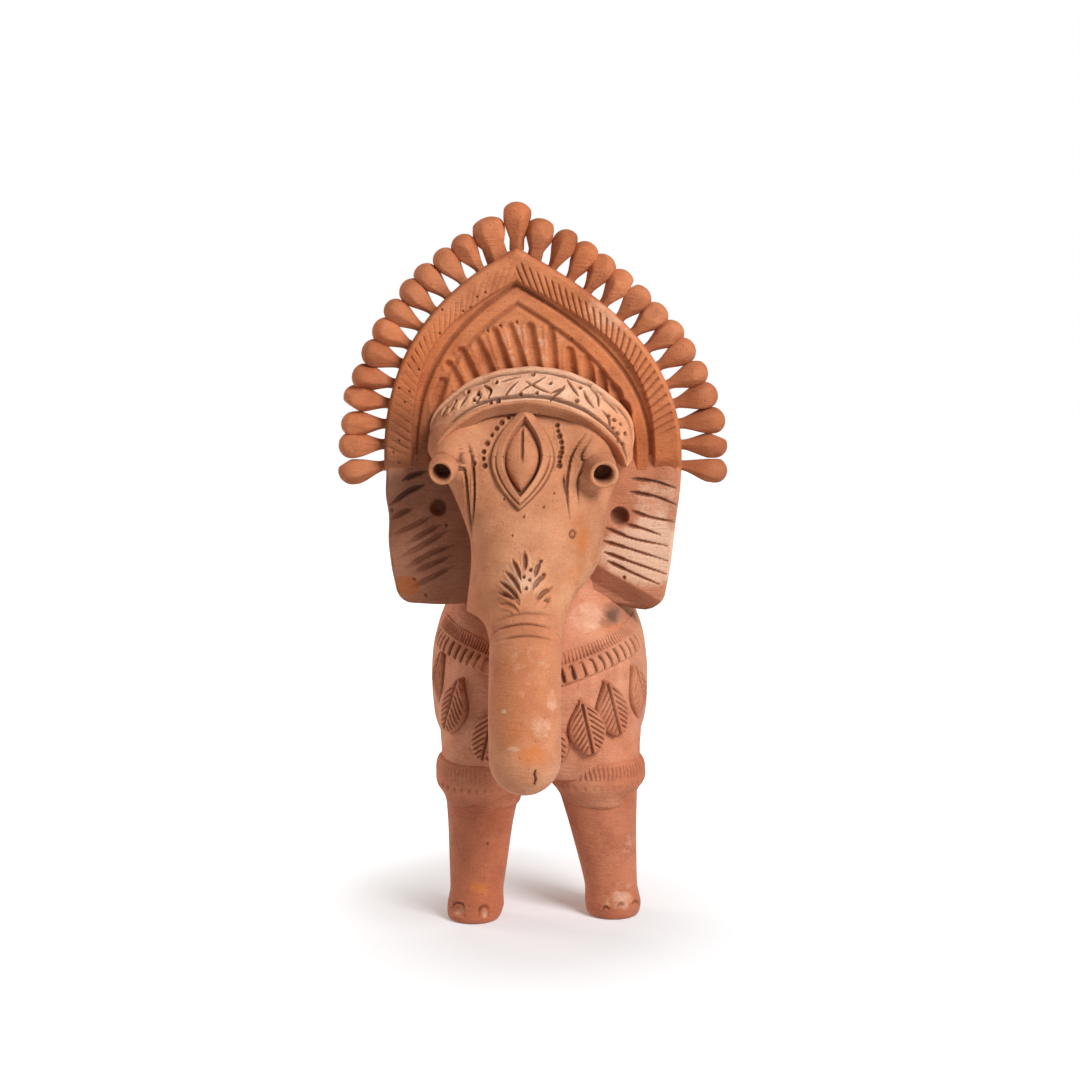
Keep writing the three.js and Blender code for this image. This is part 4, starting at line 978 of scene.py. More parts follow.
rings = places(
    tail_line[:, :1] + tail_radius[:, None] * hair * np.sin(tail_turns)[None, :],
    tail_line[:, 1:2] + tail_radius[:, None] * hair * np.cos(tail_turns)[None, :],
    tail_line[:, 2:],
)
make_piece("tail-clay", "tail", clay_body, ring_faces(rings))


# Head. One hollow form with the skull, the face and the root of the trunk drawn out of it,
# wiped with pale slip; the face lines, pricks and the palm sprig are scored while it is soft.
HEAD_RISE = 31.5
HEAD_DROP = 62.0
HEAD_BROW_REACH = 28.0
HEAD_NAPE_REACH = 36.0
HEAD_PLAN_EXPONENT = 2.3
HEAD_BROW_SQUARE = 2.6  # the brow is squarer in plan than the jaw and the nape
HEAD_TOP_EXPONENT = 2.2
HEAD_BROW_EXPONENT = 1.3
FACE_EXPONENT = 2.0
NAPE_EXPONENT = 2.2
CHEEK_RIGHT = (  # depth below the eyes, half width; the elephant's right, down to a square flap
    (0.0, 41.5), (8.0, 37.0), (16.0, 32.0), (28.0, 26.6), (37.0, 23.6), (50.0, 23.4), (62.0, 24.0),
)
CHEEK_LEFT = (  # its left, smeared into the ear and cut away under the jaw
    (0.0, 41.5), (15.0, 37.8), (32.0, 33.4), (45.0, 29.8), (52.0, 25.5), (57.0, 20.5), (62.0, 16.0),
)
JAW_FRONT_REACH = 48.0
JAW_BACK_REACH = 22.0
FACE_BLEND = 9.0  # how softly the trunk grows out of the face
SWELLING_ROOT = 8.5  # radius of the clay drawn out of the brow towards each eye tube
SWELLING_END = 4.4
SWELLING_BLEND = 8.0
EYE_SPREAD = {1: 34.2, -1: 32.6}  # from the middle of the face to the mouth of an eye tube
EYE_BELOW = {1: 5.4, -1: 4.6}
EYE_AHEAD = 38.0
EYE_OUTWARD = 0.16  # sideways share of the way an eye tube points
EYE_DOWNWARD = -0.16
EYE_ROOT_SPREAD = 27.0  # from the middle of the face to where the swelling starts
EYE_ROOT_AHEAD = 17.0
EYE_ROOT_ABOVE = 4.0
SWELLING_SHORT = 8.0  # it stops this far behind the mouth of the tube
SOCKET_CLEAR = 5.0  # radius kept clear for the hollow of the tube
SOCKET_AHEAD = 4.0
SOCKET_DEEP = 9.5
TRUNK_LINE = ((19.0, 30.0), (36.0, 52.0), (56.0, 72.0), (67.0, 94.0), (73.0, 115.5))  # ahead, below
TRUNK_SEAM = 2  # the point of the line where head and trunk meet
TRUNK_RADIUS = (17.0, 16.4, 14.7, 14.6, 14.5)
HEAD_LEVELS = 236
HEAD_SIDES = 410
HEAD_SPINE = ((0.0, 31.2), (1.0, 8.0), (8.0, -18.0))  # ahead of its middle, above its widest level
HEAD_SPINE_BEND = (0.0, 5.0, 4.0)  # from the trunk's own line to where the spine comes near it
HEAD_SPINE_STEPS = 80
HEAD_REACH = 75.0  # furthest of its surface from the spine that its rings stand on
HEAD_CROWDING = 0.15  # levels lie closer together towards the top of the skull
HEAD_EVEN = 0.45  # 1 spaces the points of a ring evenly, less crowds them to the front
PROBE_STEP = 3.0  # first search for the surface, which is then halved
PROBE_HALVINGS = 12
EYES_ASIDE = 2.0  # the eyes sit a little to the elephant's right of the skull's middle
HEAD_WIDEST_ABOVE_CROWN_FOOT = 9.0
FACE_DENTS = (26.0, 0.45)
FACE_RIPPLES = (6.0, 0.08)
CLAY_PALE = "#c07b55"
CLAY_PALE_LIGHT = "#ce926b"
CLAY_PALE_DARK = "#9e5c3c"
# Brushed with a pale slip and left matt, the face looks lighter and yellower than the barrel
clay_pale = fired_clay("pale slip terracotta", CLAY_PALE, CLAY_PALE_LIGHT, CLAY_PALE_DARK)
crown_low, crown_high = node_box("crown_plate")
head_low, head_high = node_box("head_shell")
HEAD_X = (head_low[0] + head_high[0]) / 2
EYES_X = HEAD_X - EYES_ASIDE
HEAD_WIDEST_Z = crown_low[2] + HEAD_WIDEST_ABOVE_CROWN_FOOT
HEAD_MIDDLE_Y = head_high[1] - HEAD_NAPE_REACH
trunk_points = np.array([
    (HEAD_X, HEAD_MIDDLE_Y - ahead, HEAD_WIDEST_Z - below) for ahead, below in TRUNK_LINE
])
trunk_line = smooth_curve(trunk_points, 12)
trunk_place = np.linspace(0, len(TRUNK_RADIUS) - 1, len(trunk_line))
trunk_size = np.interp(trunk_place, range(len(TRUNK_RADIUS)), TRUNK_RADIUS)
cheek_right = smooth_curve(CHEEK_RIGHT, 12)
cheek_left = smooth_curve(CHEEK_LEFT, 12)


def skull_outside(points):
    x = points[..., 0] - HEAD_X
    y = points[..., 1]
    z = points[..., 2]
    up = np.clip((z - HEAD_WIDEST_Z) / HEAD_RISE, 0, 1)
    down = np.clip((HEAD_WIDEST_Z - z) / HEAD_DROP, 0, 1)
    side = rounding(up, HEAD_TOP_EXPONENT)
    face = 1 - (1 - down) ** FACE_EXPONENT
    nape = down ** NAPE_EXPONENT
    below = down * HEAD_DROP
    right = np.interp(below, cheek_right[:, 0], cheek_right[:, 1])
    left = np.interp(below, cheek_left[:, 0], cheek_left[:, 1])
    half = np.maximum(mix(right, left, blend(-14, 14, x)) * side, 0.5)
    front_y = HEAD_MIDDLE_Y - mix(HEAD_BROW_REACH, JAW_FRONT_REACH, face)
    back_y = HEAD_MIDDLE_Y + mix(HEAD_NAPE_REACH, -JAW_BACK_REACH, nape)
    middle = HEAD_MIDDLE_Y - nape * (JAW_FRONT_REACH + JAW_BACK_REACH) / 2
    front = np.maximum((middle - front_y) * rounding(up, HEAD_BROW_EXPONENT), 0.5)
    back = np.maximum((back_y - middle) * side, 0.5)
    reach = np.where(y < middle, front, back)
    face_power = mix(HEAD_BROW_SQUARE, HEAD_PLAN_EXPONENT, np.sqrt(down))
    power = np.where(y < middle, face_power, HEAD_PLAN_EXPONENT)
    ratio = (np.abs(x) / half) ** power + (np.abs(y - middle) / reach) ** power
    out = (ratio ** (1 / power) - 1) * np.minimum(half, reach)
    out = np.maximum(out, z - HEAD_WIDEST_Z - HEAD_RISE)
    return np.maximum(out, HEAD_WIDEST_Z - HEAD_DROP - z)


def trunk_outside(points):
    best = np.full(points.shape[:-1], 1e9)
    for start, end, first, last in zip(trunk_line, trunk_line[1:], trunk_size, trunk_size[1:]):
        best = np.minimum(best, rod_outside(points, start, end, first, last))
    return best


def eye_way(side):
    """The way an eye tube points; side is 1 for the elephant's left."""
    return unit(np.array((side * EYE_OUTWARD, -1.0, EYE_DOWNWARD)))


def eye_mouth(side):
    x = EYES_X + side * EYE_SPREAD[side]
    return np.array((x, HEAD_MIDDLE_Y - EYE_AHEAD, HEAD_WIDEST_Z - EYE_BELOW[side]))


def face_outside(points):
    """Skull, brow and trunk run together as one soft form."""
    whole = run_together(skull_outside(points), trunk_outside(points), FACE_BLEND)
    for side in (-1, 1):
        mouth = eye_mouth(side)
        way = eye_way(side)
        root = np.array((EYES_X + side * EYE_ROOT_SPREAD, HEAD_MIDDLE_Y, HEAD_WIDEST_Z))
        root += (0, -EYE_ROOT_AHEAD, EYE_ROOT_ABOVE)
        swelling = rod_outside(points, root, mouth - SWELLING_SHORT * way, SWELLING_ROOT, SWELLING_END)
        whole = run_together(whole, swelling, SWELLING_BLEND)
        start = mouth + SOCKET_AHEAD * way
        socket = rod_outside(points, start, mouth - SOCKET_DEEP * way, SOCKET_CLEAR, SOCKET_CLEAR)
        whole = np.maximum(whole, -socket)
    return whole


def rings_round(spine, turns, outside, reach):
    """Rings square to a spine that meet the surface all round it."""
    along = unit(np.gradient(spine, axis=0))
    across = np.array((1.0, 0.0, 0.0))
    front = np.cross(along, across)
    ray = np.cos(turns)[None, :, None] * across + np.sin(turns)[None, :, None] * front[:, None, :]
    start = np.broadcast_to(spine[:, None, :], ray.shape)
    high = np.full(ray.shape[:2], float(reach))
    low = np.zeros(ray.shape[:2])
    found = np.zeros(ray.shape[:2], bool)
    for step in np.arange(PROBE_STEP, reach, PROBE_STEP):
        out = outside(start + ray * step) > 0
        high = np.where(out & ~found, step, high)
        low = np.where(~out & ~found, step, low)
        found |= out
    for step in range(PROBE_HALVINGS):
        middle = (low + high) / 2
        out = outside(start + ray * middle[..., None]) > 0
        high = np.where(out, middle, high)
        low = np.where(out, low, middle)
    return start + ray * ((low + high) / 2)[..., None]


def front_turns(count, even):
    """Turns round a spine, crowded towards the front."""
    warp = np.linspace(-1, 1, count, endpoint=False)
    return math.pi / 2 + math.pi * warp * mix(np.abs(warp) ** 1.5, 1.0, even)


seam = trunk_points[TRUNK_SEAM]
head_spine = [(HEAD_X, HEAD_MIDDLE_Y - ahead, HEAD_WIDEST_Z + above) for ahead, above in HEAD_SPINE]
head_spine = smooth_curve(head_spine + [trunk_points[1] + HEAD_SPINE_BEND, seam], HEAD_SPINE_STEPS)
stop = np.linspace(0, 1, HEAD_LEVELS)
stop = run_along(head_spine)[-1] * mix(stop, stop ** 2, HEAD_CROWDING)
head_spine = points_at(head_spine, stop)
rings = rings_round(head_spine, front_turns(HEAD_SIDES, HEAD_EVEN), face_outside, HEAD_REACH)
normals = ring_normals(rings)
dents = unevenness(rings, *FACE_DENTS, 60)
dents = dents + unevenness(rings, *FACE_RIPPLES, 61)
rings = rings - normals * dents[..., None]
clay = WetClay(*drawn(rings))

# Lines down each side of the face, with pits and a ring mark
FACE_LINE_WIDTH = 1.45
FACE_LINE_DEPTH = 1.5
FACE_LINES = (
    [(-34.2, 41.0), (-33.0, 34.2), (-31.7, 25.7), (-30.0, 8.6), (-29.5, 1.7)],
    [(-30.8, 41.5), (-29.5, 37.7), (-28.5, 30.0), (-28.2, 17.0), (-29.2, 1.7)],
    [(19.6, 45.8), (13.9, 37.2), (12.2, 29.7), (11.6, 20.5), (12.8, 9.0)],
    [(22.3, 44.0), (17.5, 36.4), (18.4, 33.0), (16.3, 25.7), (16.7, 14.6)],
    [(10.0, 28.2), (10.6, 23.0), (12.2, 17.5)],
)
FACE_PITS = ((-15.5, 17.5), (-7.0, 10.0), (1.5, 14.0), (2.0, 25.0), (-12.0, 2.0), (6.0, 20.0))
FACE_PIT = (1.3, 0.7)
TEMPLE_PIT_PLACE = (-28.4, 32.8)
TEMPLE_PIT = (2.4, 1.4)
REED_MARK = (14.0, 2.5)  # pressed with the end of a reed
REED_MARK_RADIUS = 1.5
REED_MARK_SQUASH = 1.3  # it is higher than it is wide
REED_MARK_WALL = 0.8  # half the width of the line that the reed left
REED_MARK_DEPTH = 0.8
for line in FACE_LINES:
    clay.stroke(line, FACE_LINE_WIDTH, FACE_LINE_DEPTH)
clay.dot(TEMPLE_PIT_PLACE, *TEMPLE_PIT)
for spot in FACE_PITS:
    clay.dot(spot, *FACE_PIT)
reed_u = (clay.u - REED_MARK[0]) * REED_MARK_SQUASH
reed_away = np.hypot(reed_u, clay.v - REED_MARK[1]) - REED_MARK_RADIUS
clay.cut = np.maximum(clay.cut, REED_MARK_DEPTH * rounded(reed_away, REED_MARK_WALL))

# Pricks that follow the lozenge on both sides, and the shallow bed that it lies in
PRICK_ROWS = (
    [(-9.7, 54.4), (-16.3, 50.3), (-21.0, 44.9), (-23.8, 37.8), (-24.0, 31.8)],
    [(7.3, 49.2), (8.4, 44.5), (9.0, 39.5), (8.8, 35.6), (8.0, 31.8)],
)
PRICK_WIDTHS = (2.3, 1.9, 2.6)
PRICK_DEPTH = 1.4
PRICK_STRAY = 0.35  # how far one strays from its row
PUSHED_UP_CLAY = [(9.0, 32.0), (2.0, 26.5), (-3.5, 21.5)]
PUSHED_UP = (2.2, 0.6)  # width and height of that clay
LOZENGE_BED = (-7.4, 34.0)
LOZENGE_BED_SIZE = (8.4, 17.0)
LOZENGE_BED_DEPTH = 1.6
LOZENGE_TILT = 0.06  # sideways for every millimetre up
for row in PRICK_ROWS:
    for number, spot in enumerate(smooth_curve(row, 2)):
        stray = (PRICK_STRAY * math.sin(5 * number), 0.0)
        clay.dot(spot + stray, PRICK_WIDTHS[number % 3], PRICK_DEPTH)
clay.ridge(PUSHED_UP_CLAY, *PUSHED_UP)
bed_v = clay.v - LOZENGE_BED[1]
bed_u = clay.u - LOZENGE_BED[0] - LOZENGE_TILT * bed_v
bed = np.hypot(bed_u / LOZENGE_BED_SIZE[0], bed_v / LOZENGE_BED_SIZE[1])
clay.cut = np.maximum(clay.cut, LOZENGE_BED_DEPTH * (1 - blend(0.75, 1.0, bed)))

# Palm sprig on the root of the trunk, and the rings below it; these are open and get less painted shade
SPRIG_LEAVES = (
    [(-6.7, -5.1), (-6.4, -9.0), (-6.5, -12.8)],
    [(-11.9, -8.5), (-10.0, -12.4), (-8.3, -16.9)],
    [(-15.0, -13.5), (-11.4, -17.2), (-8.3, -22.6)],
    [(-17.3, -18.0), (-13.0, -21.0), (-8.8, -26.1)],
    [(-17.7, -22.7), (-13.4, -24.0), (-8.8, -27.6)],
    [(-17.1, -27.2), (-13.0, -28.2), (-9.3, -30.6)],
    [(0.0, -9.7), (-1.4, -12.6), (-2.1, -15.8)],
    [(2.6, -14.9), (-0.8, -17.4), (-3.1, -21.0)],
    [(5.1, -20.5), (1.4, -22.6), (-1.5, -26.1)],
    [(4.6, -24.7), (2.6, -26.4), (1.5, -28.9)],
)
SPRIG_PITS = ((-4.1, -12.8), (-7.0, -15.7), (-4.5, -16.9), (-6.0, -20.7), (0.4, -9.0), (1.6, -14.6))
SPRIG_CUT = (2.3, 1.6)
SPRIG_LIP_PLACE = (-0.2, -1.6)  # from a leaf to the clay pushed up below it
SPRIG_LIP = (1.8, 0.8)
SPRIG_PIT = (1.7, 1.2)
SPRIG_CUT_SHADE = 0.72
TRUNK_RINGS = (
    ((-19.1, -36.4), (-13.0, -33.8), (-6.8, -32.5), (0.5, -32.7), (7.3, -33.8)),
    ((-19.7, -40.2), (-13.5, -38.2), (-6.8, -37.2), (0.5, -37.9), (7.3, -39.6)),
    ((-18.8, -44.9), (-12.5, -43.1), (-5.6, -42.2), (0.5, -42.8), (6.8, -44.3)),
)
TRUNK_RING_PLACE = (0.0, 1.3)  # from the line of a ring to its cut, and to the bead below that
TRUNK_RING_CUT = (1.6, 0.7)
TRUNK_BEAD_PLACE = (0.0, -0.4)
TRUNK_BEAD = (1.8, 0.6)
HEAD_STAINS = (
    (BLOOM_AND_HIGHLIGHT, (-7.0, -12.0), (18.0, 15.0), 0.26),
    (BLOOM_AND_HIGHLIGHT, (-6.0, -24.0), (16.0, 14.0), 0.2),
    (FLASH, (16.5, 5.0), (7.0, 14.0), 0.3),
    (FLASH, (20.5, -6.0), (8.0, 16.0), 0.3),
    (FLASH, (14.0, -16.0), (6.0, 9.0), 0.3),
)
# painted shade on the cheek, on the elephant's left
CHEEK_PAINTED_SHADE = (((22.0, -2.0), (12.0, 28.0), 0.22),)


def cut_trunk_rings(clay):
    """Shallow rings round the top of the trunk, each with a bead of clay pushed up below it."""
    for crest in TRUNK_RINGS:
        clay.stroke(np.array(crest) + TRUNK_RING_PLACE, *TRUNK_RING_CUT, thin=0.5)
        clay.ridge(np.array(crest) + TRUNK_BEAD_PLACE, *TRUNK_BEAD)


def darken_patches(surface_marks, u, v, dark_patches, where=1.0):
    """Darkens patches that aren't darker already, each with its middle, size and strength."""
    for middle, size, strength in dark_patches:
        dirt_and_shade = strength * patch(u, v, middle, size) * where
        surface_marks[..., DIRT_AND_SHADE] = np.maximum(surface_marks[..., DIRT_AND_SHADE], dirt_and_shade)


sprig = WetClay(clay.u, clay.v)
for leaf in SPRIG_LEAVES:
    sprig.stroke(leaf, *SPRIG_CUT, thin=0.4)
    sprig.ridge(np.array(leaf) + SPRIG_LIP_PLACE, *SPRIG_LIP)
for spot in SPRIG_PITS:
    clay.dot(spot, *SPRIG_PIT)
cut_trunk_rings(sprig)
facing = blend(0.05, 0.3, -normals @ view_ahead)
rings = rings - normals * ((clay.depth() + sprig.depth()) * facing)[..., None]
# painted shade in the face lines, pits, sprig and rings
surface_marks = new_surface(rings, np.maximum(clay.dirt_and_shade(), SPRIG_CUT_SHADE * sprig.dirt_and_shade()) * facing)
add_marks(surface_marks, clay.u, clay.v, HEAD_STAINS, facing)
# painted shade on the cheek
darken_patches(surface_marks, clay.u, clay.v, CHEEK_PAINTED_SHADE, facing)
make_piece("head-shell", "head_shell", clay_pale, ring_faces(rings), surface_marks)


# Trunk. A tapering roll of clay luted to the root of the trunk and pressed against the chest;
# the third ring hides the joint. Handling has burnished it slightly.
TRUNK_LEVELS = 160
TRUNK_SIDES = 190
TRUNK_REACH = 45.0
TRUNK_CROWDING = 1.35  # levels lie closer together towards the tip
TRUNK_EVEN = 0.6
TRUNK_RUN_IN = 5  # points of the line by which it is let into the head
TRUNK_JOINT = (9.0, 15.0)  # from its start to where it begins to show, and to where it shows whole
TRUNK_TIP_SHARE = 0.997  # of the last radius, so that the tip closes
TRUNK_TUCK = 0.5  # it lies this far below the face there
TRUNK_DENTS = (22.0, 0.45)
TRUNK_TIP_CUT = [(-1.9, -98.6), (-2.4, -100.5), (-1.8, -102.4), (-2.5, -104.8)]
TIP_CUT = (1.15, 1.3)
TRUNK_SCRATCH = [(-17.0, -92.5), (-9.0, -88.5)]
SCRATCH = (0.8, 0.25)
TRUNK_STAINS = (
    (FLASH, (-8.0, -88.0), (15.0, 14.0), 0.28),
    (FLASH, (-13.0, -73.0), (8.0, 14.0), 0.28),
    (FLASH, (-2.0, -93.0), (12.0, 7.0), 0.28),
    (BLOOM_AND_HIGHLIGHT, (5.0, -69.5), (3.6, 9.0), 0.33),
    (BLOOM_AND_HIGHLIGHT, (0.5, -80.5), (8.0, 9.5), 0.33),
    (BLOOM_AND_HIGHLIGHT, (-8.0, -68.0), (4.0, 5.0), 0.2),
    (BLOOM_AND_HIGHLIGHT, (-15.5, -73.5), (2.2, 1.8), 0.4),
    (BLOOM_AND_HIGHLIGHT, (-11.5, -89.5), (5.0, 1.8), 0.4),
    (BLOOM_AND_HIGHLIGHT, (-4.0, -54.0), (17.0, 18.0), 0.25),
)
CLAY_TRUNK = "#c17950"
CLAY_TRUNK_LIGHT = "#ce906b"
CLAY_TRUNK_DARK = "#a15d3c"
# Burnished by many hands: warmer and smoother than the face, with a soft light along its edges
clay_trunk = fired_clay("orange terracotta", CLAY_TRUNK, CLAY_TRUNK_LIGHT, CLAY_TRUNK_DARK, 0.12)
tip_way = unit(trunk_points[-1] - trunk_line[-4])
trunk_spine = np.concatenate([
    trunk_line[np.linalg.norm(trunk_line - seam, axis=1).argmin() - TRUNK_RUN_IN:],
    [trunk_points[-1] + tip_way * TRUNK_RADIUS[-1] * TRUNK_TIP_SHARE],
])
stop = 1 - (1 - np.linspace(0, 1, TRUNK_LEVELS)) ** TRUNK_CROWDING
stop = run_along(trunk_spine)[-1] * stop
trunk_spine = points_at(trunk_spine, stop)
rings = rings_round(trunk_spine, front_turns(TRUNK_SIDES, TRUNK_EVEN), face_outside, TRUNK_REACH)
normals = ring_normals(rings)
joint = blend(*TRUNK_JOINT, stop)[:, None]
dents = unevenness(rings, *TRUNK_DENTS, 70)
rings = rings - normals * (dents * joint + TRUNK_TUCK * (1 - joint))[..., None]
clay = WetClay(*drawn(rings))
cut_trunk_rings(clay)
clay.stroke(TRUNK_TIP_CUT, *TIP_CUT, thin=0.8)
clay.stroke(TRUNK_SCRATCH, *SCRATCH)
facing = blend(0.05, 0.3, -normals @ view_ahead)
rings = rings - normals * (clay.depth() * facing)[..., None]
# painted shade in the ring cuts, the tip cut and the scratch
surface_marks = new_surface(rings, clay.dirt_and_shade() * facing)
add_marks(surface_marks, clay.u, clay.v, TRUNK_STAINS, facing)
make_piece("trunk-clay", "trunk", clay_trunk, ring_faces(rings), surface_marks)


# Forehead lozenge. A pointed frame of two thin coils pressed on to the forehead, one inside
# the other, with a hollow between them.
LOZENGE_LENGTH = 40.0
LOZENGE_WIDTH = 27.4
LOZENGE_PROUD = 3.6
LOZENGE_POINT = 1.75  # 1 gives straight sides, more gives fuller ones
LOZENGE_ASIDE = 0.4
LOZENGE_SUNK = 2.6  # hidden thickness under it
LOZENGE_DENTS = (5.0, 0.2)
LOZENGE_ROWS = 120
LOZENGE_COLUMNS = 110
FOREHEAD_AHEAD = 32.0  # from the middle of the head to a plane before the forehead


def vesica(length, width, rows, columns, point):
    """A pointed oval as rows of points, with the share of the way out to its edge."""
    down = np.linspace(0, 1, rows)[:, None]
    across = np.linspace(-1, 1, columns)[None, :]
    b = length * (0.5 - down) + 0 * across
    fall = (np.sqrt((2 * b / length) ** 2 + 0.02) - 0.02) ** point
    shape = np.maximum(1 - fall, 0.03)
    a = across * width / 2 * shape
    return a, b, np.clip(np.abs(a) / (width / 2) + fall, 0, 1.0)


lozenge_middle = node_middle("forehead_lozenge")
a, b, out = vesica(LOZENGE_LENGTH, LOZENGE_WIDTH, LOZENGE_ROWS, LOZENGE_COLUMNS, LOZENGE_POINT)
flat = places(
    lozenge_middle[0] + LOZENGE_ASIDE + a + LOZENGE_TILT * b,
    HEAD_MIDDLE_Y - FOREHEAD_AHEAD,
    lozenge_middle[2] + b,
)
sheet = lay_on(flat, FORWARD, skull_outside, PAD_REACH)
normals = sheet_normals(sheet, FORWARD)
lip = blend(0.55, 0.62, out) * (1 - 0.5 * np.clip((out - 0.64) / 0.36, 0, 1))
crease = rounded(out - 0.82, 0.04) * (1 - blend(-6, 6, b))
coils = LOZENGE_PROUD * (lip - 0.3 * crease) + 0.2 + unevenness(sheet, *LOZENGE_DENTS, 80)
proud = coils * (1 - blend(0.93, 1.0, out)) - 1.5 * (1 - blend(0.5, 0.58, out))
top = sheet + normals * proud[..., None]
bottom = sheet - normals * LOZENGE_SUNK
# painted shade in the hollow inside the frame, in the crease and round its edge
recess_shade = np.maximum(0.8 * (1 - blend(0.5, 0.66, out)), 0.75 * blend(0.9, 0.97, out))
surface_marks = new_surface(top, np.maximum(recess_shade, 0.6 * crease))
skin = pad_faces(top, bottom)
make_piece("forehead-lozenge", "forehead_lozenge", clay_pale, skin, surface_marks)


# Forehead bud. A smooth almond of the same clay, rolled between the palms and set inside the
# frame, then slit down the middle with a knife.
BUD_LENGTH = 26.0
BUD_WIDTH = 14.6
BUD_PROUD = 4.8
BUD_POINT = 2.0
BUD_ASIDE = 0.5
BUD_LIFT = 1.0
BUD_SUNK = 2.4
BUD_ROWS = 100
BUD_COLUMNS = 70
SLIT_WIDTH = 1.6
SLIT_DEPTH = 1.3
bud_middle = node_middle("forehead_bud")
a, b, out = vesica(BUD_LENGTH, BUD_WIDTH, BUD_ROWS, BUD_COLUMNS, BUD_POINT)
flat = places(
    bud_middle[0] + BUD_ASIDE + a + LOZENGE_TILT * b,
    HEAD_MIDDLE_Y - FOREHEAD_AHEAD,
    bud_middle[2] + BUD_LIFT + b,
)
sheet = lay_on(flat, FORWARD, skull_outside, PAD_REACH)
normals = sheet_normals(sheet, FORWARD)
aside = np.abs(a) / np.maximum(np.abs(a).max(1, keepdims=True), 0.3)
dome = np.sqrt(np.clip(1 - aside ** 2, 0, 1))
dome = dome * np.sqrt(np.clip(1 - np.abs(2 * b / BUD_LENGTH) ** 2.2, 0, 1))
dome = dome * (1 - 0.4 * blend(-6, 11, b))
slit = rounded(a + 0.3 + 0.05 * b, SLIT_WIDTH / 2)
slit = slit * blend(-4.5, 0, b) * (1 - blend(9.5, 12, b))
top = sheet + normals * (BUD_PROUD * dome - 1.0 - SLIT_DEPTH * slit)[..., None]
bottom = sheet - normals * BUD_SUNK
# painted shade in the slit and round the edge of the bud
surface_marks = new_surface(top, np.maximum(0.9 * slit, 0.7 * blend(0.84, 1.0, aside)))
make_piece("forehead-bud", "forehead_bud", clay_pale, pad_faces(top, bottom), surface_marks)


# Eye tubes. Two short tubes rolled round a stick, luted below the brow and left open as
# sockets, their roots smoothed into the face.
EYE_SOCKET = 4.4
EYE_SIDES = 96
EYE_DENTS = (7.0, 0.3)
EYE_CURVE_STEPS = 6  # points of the smooth outline for each point given
EYE_LIP = 5 * EYE_CURVE_STEPS  # the outline is inside the socket up to here
EYE_SIZE = {1: 0.97, -1: 0.88}  # the one on its right was rolled thinner
EYE_PROFILE = (  # distance behind the lip, radius; it starts at the floor of the socket
    (10.0, 0.4), (9.9, 2.5), (9.4, 4.0), (5.0, 4.2), (1.0, 4.4), (0.2, 4.8), (0.0, 5.3),
    (0.25, 5.8), (1.0, 6.1), (4.0, 6.3), (8.0, 6.6), (12.0, 7.0), (16.0, 7.2), (20.0, 6.8), (23.0, 5.6),
)
eye_profile = smooth_curve(EYE_PROFILE, EYE_CURVE_STEPS)
eye_turns = full_turn(EYE_SIDES)
for number, name in enumerate(("eye_tube_left", "eye_tube_right")):
    side = 1 if name.endswith("left") else -1
    ahead = eye_way(side)
    across = unit(np.cross(ahead, (0, 0, 1.0)))
    over = np.cross(across, ahead)
    mouth = eye_mouth(side)
    circle = np.cos(eye_turns)[:, None] * across + np.sin(eye_turns)[:, None] * over
    tube = EYE_SIZE[side] * eye_profile[:, 1, None, None] * circle[None]
    rings = mouth - eye_profile[:, :1, None] * ahead + tube
    rings = rings + ring_normals(rings) * unevenness(rings, *EYE_DENTS, 90 + number)[..., None]
    surface_marks = new_surface(rings)
    # painted shade deepening into the socket
    inside = (eye_profile[:, 1] < EYE_SOCKET + 0.05) & (np.arange(len(eye_profile)) < EYE_LIP)
    surface_marks[..., DIRT_AND_SHADE] = (blend(0.5, 6.0, eye_profile[:, 0]) * inside)[:, None] * 0.9
    make_piece(name.replace("_", "-"), name, clay_pale, ring_faces(rings), surface_marks)


# Headband. A strip of pale clay laid over the skull against the crown, edged with a coil and
# scored with leaf sprays, crossed lines and pricks.
HEADBAND_ROWS = 72
HEADBAND_COLUMNS = 420
HEADBAND_SWELL = 1.4  # how far it bellies out between its edges
BAND_DENTS = (6.0, 0.15)
BAND_COIL = 1.2
BAND_FADE = 0.06  # share of its length over which each end is thumbed down
BAND_TUCK = 6.0  # hidden thickness under the strip
BAND_GROOVE_BACK = 2.0  # depth of the groove beside the coil
BAND_GROOVE_FRONT = 2.2  # and of the one behind the brim
BAND_AHEAD = 1.0  # its front edge lies this far before the brow roll's solid
BAND_SHORT = 0.5  # and its back edge this far before the end of its own
BAND_BACK_EDGE = (  # on the drawing, from the elephant's right over the top to its left
    (-46.5, 42.0), (-44.5, 54.0), (-32.4, 65.7), (-20.1, 71.2), (-6.0, 73.6), (7.3, 72.6), (18.0, 69.2),
    (29.0, 62.0), (38.0, 52.0), (39.5, 38.0),
)
BAND_FRONT_EDGE = (
    (-45.5, 35.5), (-41.0, 44.0), (-32.4, 51.8), (-22.0, 56.8), (-6.0, 58.8), (7.3, 57.0), (19.0, 52.4),
    (28.5, 45.0), (34.5, 37.5), (37.0, 31.0),
)
SPRAY_WIDTH = 1.3
SPRAY_DEPTH = 1.5
